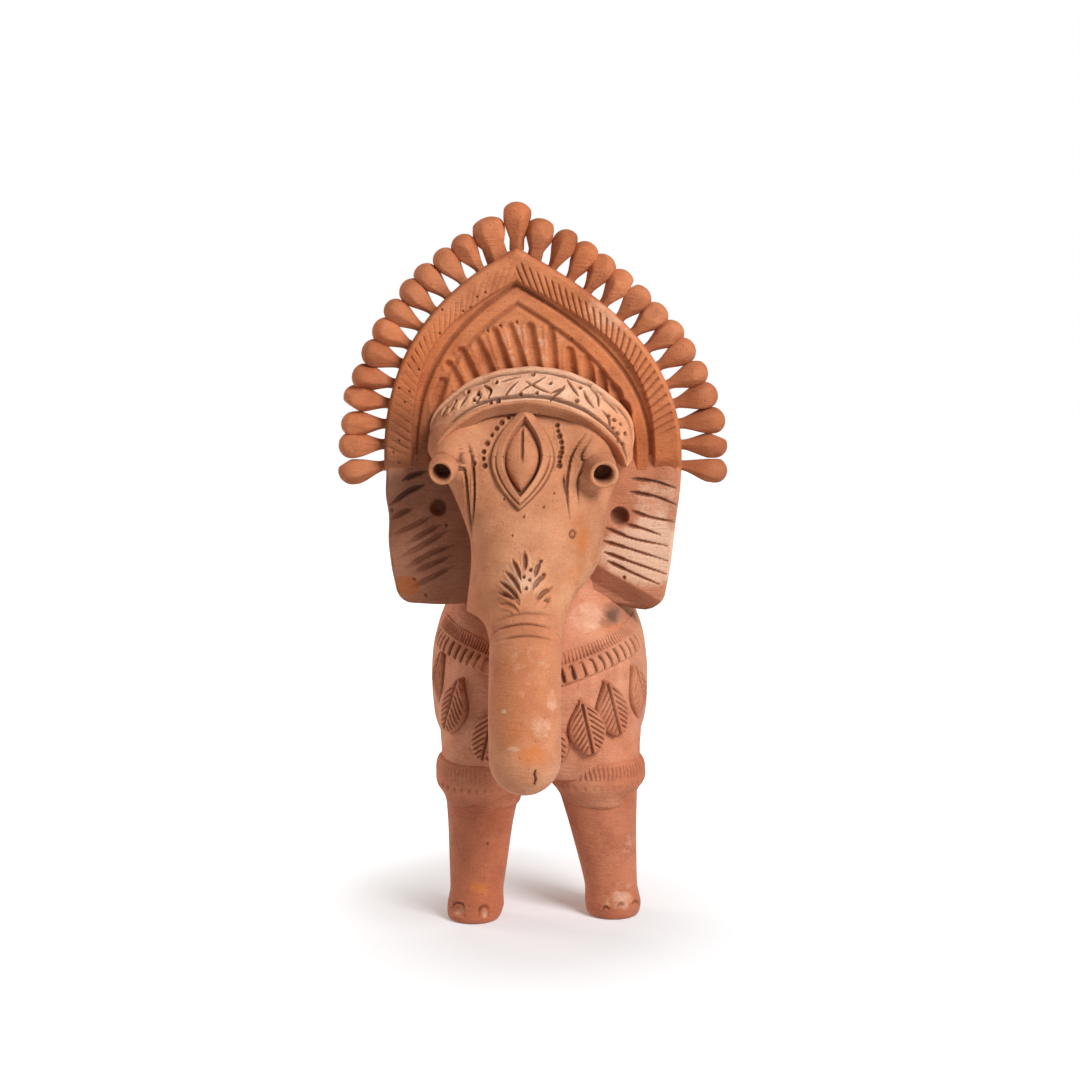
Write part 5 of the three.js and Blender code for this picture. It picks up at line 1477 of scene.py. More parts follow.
SPRAYS = (  # scored lines, from the elephant's right to its left
    [(-41.8, 53.3), (-39.5, 57.0)],
    [(-38.3, 54.4), (-36.1, 58.6), (-36.0, 60.0)],
    [(-34.1, 57.0), (-32.6, 59.6), (-30.9, 61.0)],
    [(-27.6, 58.8), (-25.2, 61.6)],
    [(-33.0, 64.0), (-28.0, 66.2), (-22.0, 68.2)],
    [(-24.0, 66.3), (-21.0, 64.0), (-22.2, 60.6)],
    [(-16.9, 67.8), (-12.5, 69.0), (-8.6, 69.7)],
    [(-15.1, 61.8), (-12.5, 65.0), (-9.7, 67.5)],
    [(-8.0, 64.0), (-3.0, 67.0), (2.1, 69.9)],
    [(-6.2, 68.1), (-1.0, 65.2), (4.5, 62.8)],
    [(4.5, 59.4), (6.3, 61.8), (9.3, 64.0), (10.5, 66.3)],
    [(4.5, 62.8), (9.9, 65.1)],
    [(11.7, 68.7), (14.0, 65.0), (16.4, 61.6)],
    [(18.8, 64.0), (20.4, 60.0), (23.0, 56.8)],
    [(21.2, 65.2), (24.5, 61.6), (25.3, 57.4)],
    [(26.5, 61.0), (30.0, 58.0), (33.0, 54.5)],
    [(27.0, 55.5), (29.5, 52.0), (30.0, 48.5)],
)
LOBE_WIDTH = 3.4
LOBE_HEIGHT = 0.8
LOBES = (  # clay that swells between the lines
    [(-40.0, 52.9), (-37.9, 56.2)], [(-36.5, 55.4), (-34.2, 59.6)], [(-31.5, 58.4), (-28.0, 64.0)],
    [(-25.6, 64.6), (-23.6, 61.0)], [(8.0, 61.5), (12.0, 64.4)], [(21.5, 62.6), (23.6, 59.0)],
)
BAND_PRICK_WIDTHS = (2.1, 1.7)
BAND_PRICK_DEPTH = 1.7
BAND_PRICKS = (
    (-30.6, 63.1), (-28.4, 60.0), (-26.4, 62.5), (-21.0, 58.4), (-17.9, 59.2), (-18.7, 67.5), (-8.6, 62.6),
    (-1.5, 63.0), (-3.0, 71.0), (4.5, 67.2), (15.8, 59.6), (17.2, 65.2), (21.2, 66.0), (29.5, 53.3),
    (31.9, 51.5), (31.4, 48.0), (33.2, 45.6), (34.6, 49.6), (35.4, 41.0), (33.4, 42.4), (36.6, 45.5),
)
BAND_STAINS = ((BLOOM_AND_HIGHLIGHT, (4.0, 63.0), (50.0, 22.0), 0.4),)
CLAY_BAND = "#d7936b"
CLAY_BAND_LIGHT = "#e6af8a"
CLAY_BAND_DARK = "#b06d4f"
# Wiped with the palest slip, it catches the light as a peach strip above the darker face
clay_band = fired_clay("slip-washed terracotta", CLAY_BAND, CLAY_BAND_LIGHT, CLAY_BAND_DARK)


def off_drawing(line, y):
    """Points of the drawing carried back to an upright plane at the given depth."""
    line = np.asarray(line, float)
    ray = VIEW_DISTANCE * view_ahead + line[:, :1] * np.array((1.0, 0.0, 0.0)) + line[:, 1:] * view_up
    return view_eye + ray * ((y - view_eye[1]) / ray[:, 1:2])


def even_steps(line, count):
    """The same line with evenly spaced points."""
    return points_at(line, np.linspace(0, run_along(line)[-1], count))


front_y = node_box("brow_roll")[0][1] - BAND_AHEAD
front_edge = off_drawing(even_steps(smooth_curve(BAND_FRONT_EDGE, 20), HEADBAND_COLUMNS), front_y)
back_y = node_box("headband")[1][1] - BAND_SHORT
back_edge = off_drawing(even_steps(smooth_curve(BAND_BACK_EDGE, 20), HEADBAND_COLUMNS), back_y)
back = np.linspace(0, 1, HEADBAND_ROWS)[:, None]
sheet = mix(front_edge[None], back_edge[None], back[..., None])
normals = sheet_normals(sheet, (0.0, 0.0, 1.0))
sheet = sheet + normals * (4 * HEADBAND_SWELL * back * (1 - back))[..., None]
normals = sheet_normals(sheet, (0.0, 0.0, 1.0))
ends = np.linspace(0, 1, HEADBAND_COLUMNS)[None, :]
ends = blend(0, BAND_FADE, ends) * blend(0, BAND_FADE, 1 - ends)
proud = BAND_COIL * np.sqrt(rounded(back - 0.93, 0.07)) * ends
proud -= BAND_GROOVE_BACK * rounded(back - 0.835, 0.035) * ends
proud -= BAND_GROOVE_FRONT * rounded(back - 0.16, 0.06) * ends
raised = sheet + normals * proud[..., None]
clay = WetClay(*drawn(raised))
for line in SPRAYS:
    clay.stroke(line, SPRAY_WIDTH, SPRAY_DEPTH, thin=0.6)
for lobe in LOBES:
    clay.ridge(lobe, LOBE_WIDTH, LOBE_HEIGHT)
for number, spot in enumerate(BAND_PRICKS):
    clay.dot(spot, BAND_PRICK_WIDTHS[number % 2], BAND_PRICK_DEPTH)
top = sheet + normals * (proud - clay.depth() + unevenness(sheet, *BAND_DENTS, 100))[..., None]
bottom = sheet - normals * BAND_TUCK
# painted shade in the grooves and cuts, and along the back edge against the crown
recess_shade = np.maximum(0.9 * np.clip(-proud, 0, 1), 0.8 * blend(0.975, 1.0, back))
surface_marks = new_surface(top, np.maximum(clay.dirt_and_shade(), recess_shade))
add_marks(surface_marks, clay.u, clay.v, BAND_STAINS, 1 - clay.dirt_and_shade())
make_piece("headband-clay", "headband", clay_band, pad_faces(top, bottom), surface_marks)


# Brow roll. A thin roll of pale clay along the front of the headband, pinched forward so that
# it overhangs the forehead like the brim of a cap.
ROLL_COLUMNS = 360
ROLL_SIDES = 56
ROLL_DENTS = (8.0, 0.3)
ROLL_SECTION = (  # forward, outward: a sharp brim above and a hollow sweep back to the forehead
    (-3.0, 0.4), (0.0, 1.0), (2.2, 1.3), (3.1, 0.8), (2.8, -0.2), (1.3, -1.1), (0.2, -2.0), (-0.8, -3.2),
    (-2.2, -4.6), (-4.0, -3.8), (-4.2, -1.2), (-3.0, 0.4),
)
line = off_drawing(even_steps(smooth_curve(BAND_FRONT_EDGE, 20), ROLL_COLUMNS), front_y)
way = unit(np.gradient(line, axis=0))
lift = np.cross(way, (0, 1.0, 0))
lift *= np.sign(lift[ROLL_COLUMNS // 2, 2])
section = even_steps(smooth_curve(ROLL_SECTION, 10), ROLL_SIDES + 1)[:-1]
taper = np.sqrt(np.clip(1 - np.abs(np.linspace(-1, 1, ROLL_COLUMNS)) ** 14, 0.02, 1))[:, None, None]
rings = line[:, None, :] + taper * (section[None, :, :1] * FORWARD + section[None, :, 1:] * lift[:, None, :])
if np.sum(ring_normals(rings) * (rings - line[:, None, :])) < 0:
    rings = rings[:, ::-1]
rings = rings + ring_normals(rings) * unevenness(rings, *ROLL_DENTS, 110)[..., None]
# painted shade on the underside of the brim
under = np.sum((rings - line[:, None, :]) * lift[:, None, :], -1)
surface_marks = new_surface(rings, 0.3 * (1 - blend(-2.4, -0.2, under)) * blend(-7.0, -3.0, under))
make_piece("brow-roll", "brow_roll", clay_pale, ring_faces(rings), surface_marks)


# Crown plate. A flat pointed slab luted upright across the skull; two grooves follow its edge
# and a row of finger flutes stands above the headband.
CROWN_HALF_WIDTH = (crown_high[0] - crown_low[0]) / 2
CROWN_X = (crown_high[0] + crown_low[0]) / 2
CROWN_UPRIGHT = 6.0
CROWN_APEX_LEAN = -6.9
CROWN_PEAK = 2.4  # pinched up above the slab
CROWN_APEX_SLOPE = math.radians(29)
CROWN_SIDE_PULL = 46.0
CROWN_APEX_PULL = 36.0
CROWN_RUN_STEPS = 400
CROWN_DEEP_STEPS = 140
CROWN_LUMPS = (18.0, 0.35)
CROWN_EDGE_STEPS = 241  # points of the edge that the grooves are measured from
CROWN_EDGE = 1.6  # rounding of its edge
CROWN_UPRIGHT_SHARE = 0.055  # share of each side that runs straight up
RIM_GROOVE = (13.2, 2.4, 1.2)  # from the outer edge, width and depth of the groove inside the rim
FIELD_GROOVE = (20.2, 2.6, 0.9)  # and of the one round the flutes
RIDGE_HEIGHT = 0.72  # of the flat ridge between the grooves
FLUTE_WIDTHS = (5.2, 4.6, 4.9)
FLUTE_DEPTHS = (2.1, 1.7)
FLUTES = (  # upper and lower end of each, on the drawing
    ((-41.5, 69.5), (-43.5, 61.5)), ((-39.0, 77.0), (-35.0, 67.5)), ((-33.5, 82.5), (-28.5, 69.5)),
    ((-27.0, 86.5), (-21.5, 72.0)), ((-19.5, 91.0), (-14.0, 73.0)), ((-13.0, 93.0), (-7.5, 74.0)),
    ((-4.5, 93.0), (-1.5, 74.0)), ((4.5, 92.0), (5.5, 74.0)), ((12.5, 83.0), (13.5, 73.0)),
    ((20.0, 79.0), (21.0, 70.0)), ((26.0, 73.5), (27.0, 66.0)), ((31.0, 67.5), (33.0, 62.0)),
    ((34.0, 61.0), (36.0, 56.5)),
)
FLUTE_PRICKS = ((-22.5, 89.5), (-17.0, 91.5), (-10.0, 93.0), (13.5, 86.0))
FLUTE_PRICK = (1.5, 1.4)
# a painted highlight on the ridges between the flutes, high on the plate
CROWN_PAINTED_HIGHLIGHT = ((BLOOM_AND_HIGHLIGHT, (-5.0, 84.0), (26.0, 18.0), 0.3),)
# dirt and painted shade low on the plate beside the ears
CROWN_DIRT_AND_SHADE = (((-52.0, 36.0), (24.0, 30.0), 0.75), ((52.0, 38.0), (18.0, 26.0), 0.42))
CLAY_CROWN = "#c46f3f"
CLAY_CROWN_LIGHT = "#cd8358"
CLAY_CROWN_DARK = "#8c4525"
# A slab of clay rich in iron, left dry: the deepest red-brown of the figure, and dead matt
clay_crown = fired_clay("red-brown terracotta", CLAY_CROWN, CLAY_CROWN_LIGHT, CLAY_CROWN_DARK)


def crown_arch(share, inset):
    """The pointed arch; share runs from the elephant's right foot over the apex to its left."""
    share, inset = np.broadcast_arrays(np.asarray(share, float), np.asarray(inset, float))
    side = np.where(share < 0.5, -1.0, 1.0)
    rise = 1 - np.abs(2 * share - 1)  # 0 at the feet, 1 at the apex
    foot_x = CROWN_X + side * (CROWN_HALF_WIDTH - inset)
    spring_z = crown_low[2] + CROWN_UPRIGHT
    apex_x = CROWN_X + CROWN_APEX_LEAN
    apex_z = crown_high[2] + CROWN_PEAK - inset / math.cos(CROWN_APEX_SLOPE)
    t = np.clip((rise - CROWN_UPRIGHT_SHARE) / (1 - CROWN_UPRIGHT_SHARE), 0, 1)
    pull_x = apex_x + side * CROWN_APEX_PULL * math.cos(CROWN_APEX_SLOPE)
    pull_z = apex_z - CROWN_APEX_PULL * math.sin(CROWN_APEX_SLOPE)
    x = foot_x * (1 - t) ** 3 + 3 * foot_x * t * (1 - t) ** 2
    x = x + 3 * pull_x * t ** 2 * (1 - t) + apex_x * t ** 3
    z = spring_z * (1 - t) ** 3 + 3 * (spring_z + CROWN_SIDE_PULL) * t * (1 - t) ** 2
    z = z + 3 * pull_z * t ** 2 * (1 - t) + apex_z * t ** 3
    straight_z = crown_low[2] + CROWN_UPRIGHT * rise / CROWN_UPRIGHT_SHARE
    return x, np.where(rise < CROWN_UPRIGHT_SHARE, straight_z, z)


def arch_inset(x, z):
    """How far points of the crown lie inside its outer edge."""
    line = np.stack(crown_arch(np.linspace(0, 1, CROWN_EDGE_STEPS), 0.0), -1)
    return nearest(line, np.stack([x, z], -1))[0]


def groove(inset, centre, width, depth):
    """A round-bottomed groove that follows the arch."""
    return depth * rounded(inset - centre, width / 2)


share = np.linspace(0, 1, CROWN_RUN_STEPS)
edge_x, edge_z = crown_arch(share, 0.0)
inward = np.linspace(0, 0.97, CROWN_DEEP_STEPS)[:, None] ** 1.1
x = edge_x[None, :] + (CROWN_X - edge_x[None, :]) * inward
z = edge_z[None, :] + (crown_low[2] - edge_z[None, :]) * inward
inset = arch_inset(x, z)
clay = WetClay(*drawn(places(x, crown_low[1], z)))
ridge = RIDGE_HEIGHT * blend(13.0, 14.5, inset) * (1 - blend(18.5, 20.5, inset))
relief = groove(inset, *RIM_GROOVE) + groove(inset, *FIELD_GROOVE) - ridge
for number, (top_end, low_end) in enumerate(FLUTES):
    start = (top_end[0], top_end[1] - 2.0)
    stop = (low_end[0] + 0.4 * (low_end[0] - top_end[0]), low_end[1] - 5.0)
    clay.stroke([start, low_end, stop], FLUTE_WIDTHS[number % 3], FLUTE_DEPTHS[number % 2], thin=0.85)
flute_cut = clay.cut.copy()
for spot in FLUTE_PRICKS:
    clay.dot(spot, *FLUTE_PRICK)
depth = clay.depth() + relief * (1 - blend(0, 0.4, clay.cut))
edge = CROWN_EDGE * (1 - rounding(1 - np.clip(inset / CROWN_EDGE, 0, 1), 2.0))
lumps = unevenness(places(x, 0, z), *CROWN_LUMPS, 120)
top = places(x, crown_low[1] + depth + edge + lumps, z)
bottom = places(x, crown_high[1] - edge + lumps * 1.5, z)
# painted shade in the flutes and the grooves
surface_marks = new_surface(top, np.maximum(blend(0.3, 2.2, flute_cut) * 0.3, 0.6 * np.clip(relief, 0, 1)))
# painted highlight, kept off the flutes
add_marks(surface_marks, clay.u, clay.v, CROWN_PAINTED_HIGHLIGHT, 1 - 0.6 * blend(0.3, 1.6, flute_cut))
# dirt and painted shade low on each side
darken_patches(surface_marks, clay.u, clay.v, CROWN_DIRT_AND_SHADE)
make_piece("crown-plate", "crown_plate", clay_crown, pad_faces(top, bottom), surface_marks)


# Crown rim. A flat strip laid along the edge of the plate and cut like a feather: deep clean
# strokes on the elephant's left, shallower half-smoothed ones with pricks on its right.
RIM_WIDTH = 12.0
RIM_PROUD = 3.0
RIM_SLIP = 0.25  # skin of slip over the strip
RIM_SUNK = 1.0  # hidden thickness let into the plate
RIM_RUN_STEPS = 620
RIM_ACROSS_STEPS = 44
RIM_LUMPS = (9.0, 0.2)
FEATHER = 3.7  # spacing of the strokes
FEATHER_WANDER = (15.0, 0.5)
FEATHER_LEAN = 6.0  # how far a stroke runs down the rim on its way in
FEATHER_BORDER = 4.2  # left plain along the outer edge near the apex
FEATHER_BORDER_LOW = 2.0  # and further down
FEATHER_DEPTH = 1.1  # of the clean strokes
FEATHER_WORN = 0.3  # least of the half-smoothed ones, which vary by the next value
FEATHER_WORN_MORE = 0.4
WORN_STRETCH = (20.0, 1.0)  # length and strength of that change
FEATHER_FRESH = ((-54.5, 81.0), (13.0, 13.0), 0.9)  # a stretch that was not smoothed over
RIM_PRICKS = (
    (-62.5, 68.5), (-60.5, 65.0), (-56.0, 63.5), (-58.0, 59.0), (-42.0, 98.5), (-43.0, 88.5),
    (-52.0, 73.0), (-33.0, 98.0), (-30.0, 99.5), (-27.0, 104.0), (-23.5, 106.0), (-60.5, 42.5),
    (-63.0, 37.5), (-60.5, 33.0),
)
RIM_PRICK = (1.2, 1.0)
# a painted highlight high on the rim, on the elephant's left
RIM_PAINTED_HIGHLIGHT = ((BLOOM_AND_HIGHLIGHT, (33.0, 99.0), (24.0, 18.0), 0.34),)
# dirt and painted shade low on the rim beside the ears
RIM_DIRT_AND_SHADE = (((-60.0, 38.0), (18.0, 36.0), 0.68), ((52.0, 38.0), (16.0, 28.0), 0.28))
share = np.linspace(0, 1, RIM_RUN_STEPS)[None, :]
inset = np.linspace(0, RIM_WIDTH, RIM_ACROSS_STEPS)[:, None]
x, z = crown_arch(share, inset)
run = run_along(np.stack(crown_arch(share[0], 0.0), -1))
apex_run = np.interp(0.5, share[0], run)
from_apex = np.abs(run - apex_run)[None, :]
strip = places(x, 0, z)
wander = unevenness(strip, *FEATHER_WANDER, 130)
phase = (from_apex - FEATHER_LEAN * (inset / RIM_WIDTH) ** 1.3 + wander) / FEATHER
saw = phase % 1
blade = np.where(saw < 0.22, saw / 0.22, np.maximum(0, 1 - (saw - 0.22) / 0.3)) ** 1.5
border = mix(FEATHER_BORDER, FEATHER_BORDER_LOW, blend(25, 100, from_apex))
blade *= blend(-0.6, 0.8, inset - border)
blade *= 1 - blend(run.max() / 2 - 14, run.max() / 2 - 8, from_apex)
worn = FEATHER_WORN + FEATHER_WORN_MORE * blend(0.0, 1.0, unevenness(strip, *WORN_STRETCH, 131))
clay = WetClay(*drawn(places(x, crown_low[1] - RIM_PROUD, z)))
fresh_place, fresh_size, fresh_depth = FEATHER_FRESH
fresh = fresh_depth * patch(clay.u, clay.v, fresh_place, fresh_size) * (1 - blend(5.0, 8.0, inset))
cut = blade * np.where(share > 0.5, FEATHER_DEPTH, np.maximum(worn, fresh))
for spot in RIM_PRICKS:
    clay.dot(spot, *RIM_PRICK)
cut = np.maximum(cut, clay.cut)
edge = np.minimum(inset / 2.2, (RIM_WIDTH - inset) / 1.4)
proud = RIM_PROUD * rounding(1 - np.clip(edge, 0, 1), 2.2)
proud = proud * blend(0, 6, np.minimum(run, run.max() - run))[None, :]
lumps = unevenness(strip, *RIM_LUMPS, 132)
top = places(x, crown_low[1] - proud - RIM_SLIP + cut + lumps, z)
bottom = places(x, crown_low[1] + RIM_SUNK, z)
# painted shade in the feather strokes and pricks
surface_marks = new_surface(top, 0.75 * blend(0.2, 1.1, cut))
# painted highlight, kept off the cuts
add_marks(surface_marks, clay.u, clay.v, RIM_PAINTED_HIGHLIGHT, 1 - blend(0.1, 0.5, cut))
# dirt and painted shade low on each side
darken_patches(surface_marks, clay.u, clay.v, RIM_DIRT_AND_SHADE)
make_piece("crown-rim", "crown_rim", clay_crown, pad_faces(top, bottom), surface_marks)


# Crown clubs. Twenty-eight little clubs rolled between finger and thumb, pinched thin at the
# root and set side by side round the edge of the plate; each is pressed flat here and there.
CLUBS_RIGHT = 13  # below the apex on the elephant's right
CLUBS_LEFT = 14
CLUB_LENGTH = 17.4
CLUB_LENGTH_VARIES = (0.95, 1.04)
CLUB_SIDE_EXTRA = 2.6
CLUB_APEX_EXTRA = 1.8
CLUB_RADIUS = 5.8
CLUB_RADIUS_VARIES = (0.93, 1.03)
CLUB_FAN = 36.0  # length of the edge that a club stands square to
CLUB_FOOT = 1.8  # the lowest clubs stand this far up the edge
CLUB_DROOP = math.radians(13)
CLUB_CROOKED = 3.0  # degrees by which one may be set aslant
CLUB_BEND = 0.6
CLUB_SIDES = 44
ARCH_STEPS = 1201  # points of the edge that the clubs are spaced along
CLUB_STOUT = {13: 1.36, 14: 1.18, 15: 1.08}  # the ones rolled thicker than the rest
CLUB_THICK_ROOT = {13: 0.66, 14: 0.5, 15: 0.5}  # and hardly pinched at the root
CLUB_PROFILE = (  # share of the length, share of the radius
    (-0.06, 0.5), (0.0, 0.4), (0.1, 0.42), (0.26, 0.6), (0.44, 0.84), (0.57, 0.97), (0.67, 1.0),
    (0.77, 0.96), (0.86, 0.84), (0.93, 0.63), (0.98, 0.36), (1.0, 0.05),
)
CLUB_GRIME = {13: 0.0, 14: 0.0, 24: 0.25, 25: 0.3, 26: 0.35, 27: 0.35, 28: 0.35}
CLUB_FLATS = 5  # sides pressed flat between the fingers
CLUB_DABS = 3  # and places dabbed flat once it was set
CLUB_DAB_REACH = (0.78, 0.92)  # share of the radius left there
CLUB_DAB_TILT = (-0.5, 0.2)
CLUB_LEAST_RADIUS = 1.4
CLAY_CLUB = "#be6d42"
CLAY_CLUB_LIGHT = "#cc8056"
CLAY_CLUB_DARK = "#934b29"
# Rolled in the fingers and never wiped: a red-orange skin, with painted shade at the roots
clay_club = fired_clay("hand-rolled terracotta", CLAY_CLUB, CLAY_CLUB_LIGHT, CLAY_CLUB_DARK)
arch_share = np.linspace(0, 1, ARCH_STEPS)
arch = np.stack(crown_arch(arch_share, 0.0), -1)
arch_run = run_along(arch)
arch_apex = np.interp(0.5, arch_share, arch_run)
club_runs = np.concatenate([
    np.linspace(CLUB_FOOT, arch_apex, CLUBS_RIGHT + 1)[:-1],
    np.linspace(arch_apex, arch_run[-1] - CLUB_FOOT, CLUBS_LEFT + 1),
])
club_profile = smooth_curve(CLUB_PROFILE, 4)
club_turns = full_turn(CLUB_SIDES)
club_y = (crown_low[1] + crown_high[1]) / 2
club_axes = []
for number, run in enumerate(club_runs, 1):
    before, root, after = points_at(arch, (run - CLUB_FAN / 2, run, run + CLUB_FAN / 2))
    place = np.array((root[0], club_y, root[1]))
    way = after - before
    angle = math.atan2(way[1], way[0]) + math.pi / 2
    low_share = max(0, 1 - 2 * (place[2] - crown_low[2]) / (crown_high[2] - crown_low[2]))
    past = np.sign(number - CLUBS_RIGHT - 1)
    angle -= past * CLUB_DROOP * low_share ** 2
    extra = CLUB_APEX_EXTRA if past == 0 else CLUB_SIDE_EXTRA * math.sqrt(low_share)
    club_axes.append((place, angle, CLUB_LENGTH + extra))
for number, (place, angle, length) in enumerate(club_axes, 1):
    chance = np.random.default_rng(200 + number)
    name = f"crown_club_{number:02d}"
    angle += math.radians(chance.uniform(-CLUB_CROOKED, CLUB_CROOKED))
    length *= chance.uniform(*CLUB_LENGTH_VARIES)
    axis = np.array((math.cos(angle), 0.0, math.sin(angle)))
    beside = np.array((-axis[2], 0.0, axis[0]))
    radius = CLUB_RADIUS * chance.uniform(*CLUB_RADIUS_VARIES) * CLUB_STOUT.get(number, 1.0)
    up = club_profile[:, :1]
    full = club_profile[:, 1:]
    along = up * length
    least = CLUB_THICK_ROOT.get(number, 0) * ((full < 0.8) & (up < 0.7))
    size = np.maximum(full, least) * radius * np.ones((1, CLUB_SIDES))
    flat_turn = 2 * math.pi / CLUB_FLATS
    corner = (club_turns + chance.uniform(0, 2 * math.pi)) % flat_turn - flat_turn / 2
    pressed = 1.06 * math.cos(flat_turn / 2) / np.cos(corner)
    size = size * mix(1.0, pressed[None, :], 0.75 - 0.55 * blend(0.55, 0.9, up))
    for dab in range(CLUB_DABS):
        turn = chance.uniform(0, 2 * math.pi)
        reach = radius * chance.uniform(*CLUB_DAB_REACH)
        tilt = chance.uniform(*CLUB_DAB_TILT)
        turned = np.cos(club_turns - turn)[None, :]
        limit = (reach + tilt * (along - 0.7 * length)) / np.maximum(turned, 0.05)
        size = np.minimum(size, np.maximum(limit, CLUB_LEAST_RADIUS))
    bend = chance.uniform(-CLUB_BEND, CLUB_BEND) * up ** 2
    rings = (
        place + along[..., None] * axis
        + (size * np.cos(club_turns)[None, :] + bend)[..., None] * beside
        + (size * np.sin(club_turns)[None, :])[..., None] * FORWARD
    )
    out = rings - rings.mean(1, keepdims=True)
    if np.sum(ring_normals(rings) * out) < 0:
        rings = rings[:, ::-1]
    # painted shade where each club meets the plate
    root_shade = 0.45 * (1 - blend(0.05, 0.4, up))
    surface_marks = new_surface(rings, np.maximum(root_shade, CLUB_GRIME.get(number, chance.uniform(0, 0.25))))
    make_piece(name.replace("_", "-"), name, clay_club, ring_faces(rings), surface_marks)


# Ears. Two thick slabs of smoked clay hung below the crown and smeared on to it, scored with
# slanting folds that darken towards the top, with a round hole pushed in beside each eye.
EAR_ROWS = 150
EAR_COLUMNS = 130
EAR_EDGE = 1.6
EAR_TAPER = {"ear_left": 7.0, "ear_right": 5.0}
EAR_RISE = 7.0  # how far it is smeared up over the face of the crown
EAR_CORNER = 7.0
EAR_FOOT_WIDTH = 40.0
EAR_INNER = 16.0  # inner end of the slab, from the middle of the head
EAR_DROOP = {"ear_left": 3.0, "ear_right": 0.0}  # how much lower its outer corner hangs
EAR_SIDE_WAVE = (11.0, 0.5)  # its edges were cut by eye
EAR_FOOT_WAVE = (10.0, 0.5)
EAR_LUMPS = (12.0, 0.4)
BEVEL_START = (26.0, -11.6)  # the underside of the left slab is pared away below this line
BEVEL_END = (51.4, -25.7)
BEVEL_SLOPE = 0.5
BEVEL_LENGTH = 9.0
EAR_FOLDS = {  # inner end, bend and outer end of each cut, on the drawing
    "ear_right": (
        ((-47.9, 29.7), (-54.0, 27.8), (-59.1, 25.4)), ((-49.2, 23.8), (-56.2, 20.9), (-65.0, 14.4)),
        ((-54.3, 13.6), (-59.4, 11.5), (-64.2, 8.6)), ((-46.0, 10.7), (-53.5, 6.4), (-63.7, 2.1)),
        ((-42.0, 7.0), (-49.8, 2.7), (-57.2, -1.6)), ((-39.1, 4.5), (-48.2, -1.1), (-61.5, -8.6)),
        ((-36.9, -2.1), (-47.1, -5.9), (-58.6, -12.8)), ((-37.5, -6.2), (-46.0, -10.2), (-55.1, -14.4)),
        ((-36.9, -10.7), (-45.5, -15.5), (-55.4, -20.6)),
    ),
    "ear_left": (
        ((39.3, 26.2), (48.7, 25.1), (57.8, 22.2)), ((38.5, 20.6), (48.7, 18.7), (58.0, 15.2)),
        ((39.3, 12.3), (46.5, 9.9), (58.0, 7.6)), ((36.9, 6.7), (43.3, 5.1), (51.4, 2.1)),
        ((27.8, 5.1), (38.0, 1.1), (54.6, -2.7)), ((27.0, -0.5), (38.0, -3.7), (54.6, -9.1)),
        ((27.6, -5.3), (38.0, -9.1), (54.0, -14.7)), ((28.9, -9.1), (38.0, -13.4), (50.8, -19.0)),
    ),
}
EAR_CHIPS = ((-54.0, -16.9), (-49.0, -23.8), (-63.4, 12.8), (-39.9, 6.4), (57.5, 31.0), (36.0, -16.2))
EAR_CHIP = (1.8, 1.0)
LEFT_FOLD = (1.3, 1.2)
LEFT_FOLD_ROOT = (1.9, 1.5)  # its inner half is cut again
RIGHT_FOLD = (2.5, 1.9)
RIGHT_FOLD_LIP_PLACE = (-0.4, -2.0)  # from a cut to the clay pushed up below it
RIGHT_FOLD_LIP = (2.8, 0.6)
EAR_HOLES = {"ear_right": ((-43.5, 14.0), 7.4), "ear_left": ((34.0, 10.0), 8.4)}  # middle and width
EAR_HOLE_PUSH = 5.0  # depth of the prick that opens it, before its sides are squared
EAR_HOLE_DEPTH = 4.5
EAR_SMOKED = {"ear_left": 0.12, "ear_right": 0.32}
EAR_RIGHT_SHADE = 0.56  # its right ear is dirty and smoked all over, and painted with the shade that the head casts on it
EAR_RIGHT_SMOKE = 0.1
EAR_SALTS = ((BLOOM_AND_HIGHLIGHT, (46.0, -6.0), (30.0, 20.0), 0.68),)
EAR_STREAKS = (
    (BLOOM_AND_HIGHLIGHT, (53.0, 0.5), (6.0, 3.0), 0.3),
    (BLOOM_AND_HIGHLIGHT, (50.0, -4.5), (6.0, 3.0), 0.3),
    (BLOOM_AND_HIGHLIGHT, (49.5, -9.0), (6.0, 3.0), 0.3),
)
EAR_UPPER_SALTS = ((BLOOM_AND_HIGHLIGHT, (50.0, 17.0), (18.0, 16.0), 0.34),)
EAR_CORNER_FLASH = ((FLASH, (-57.5, -19.5), (8.0, 6.0), 1.0),)
CLAY_EAR = "#b57353"
CLAY_EAR_LIGHT = "#c78a6b"
CLAY_EAR_DARK = "#8f5338"
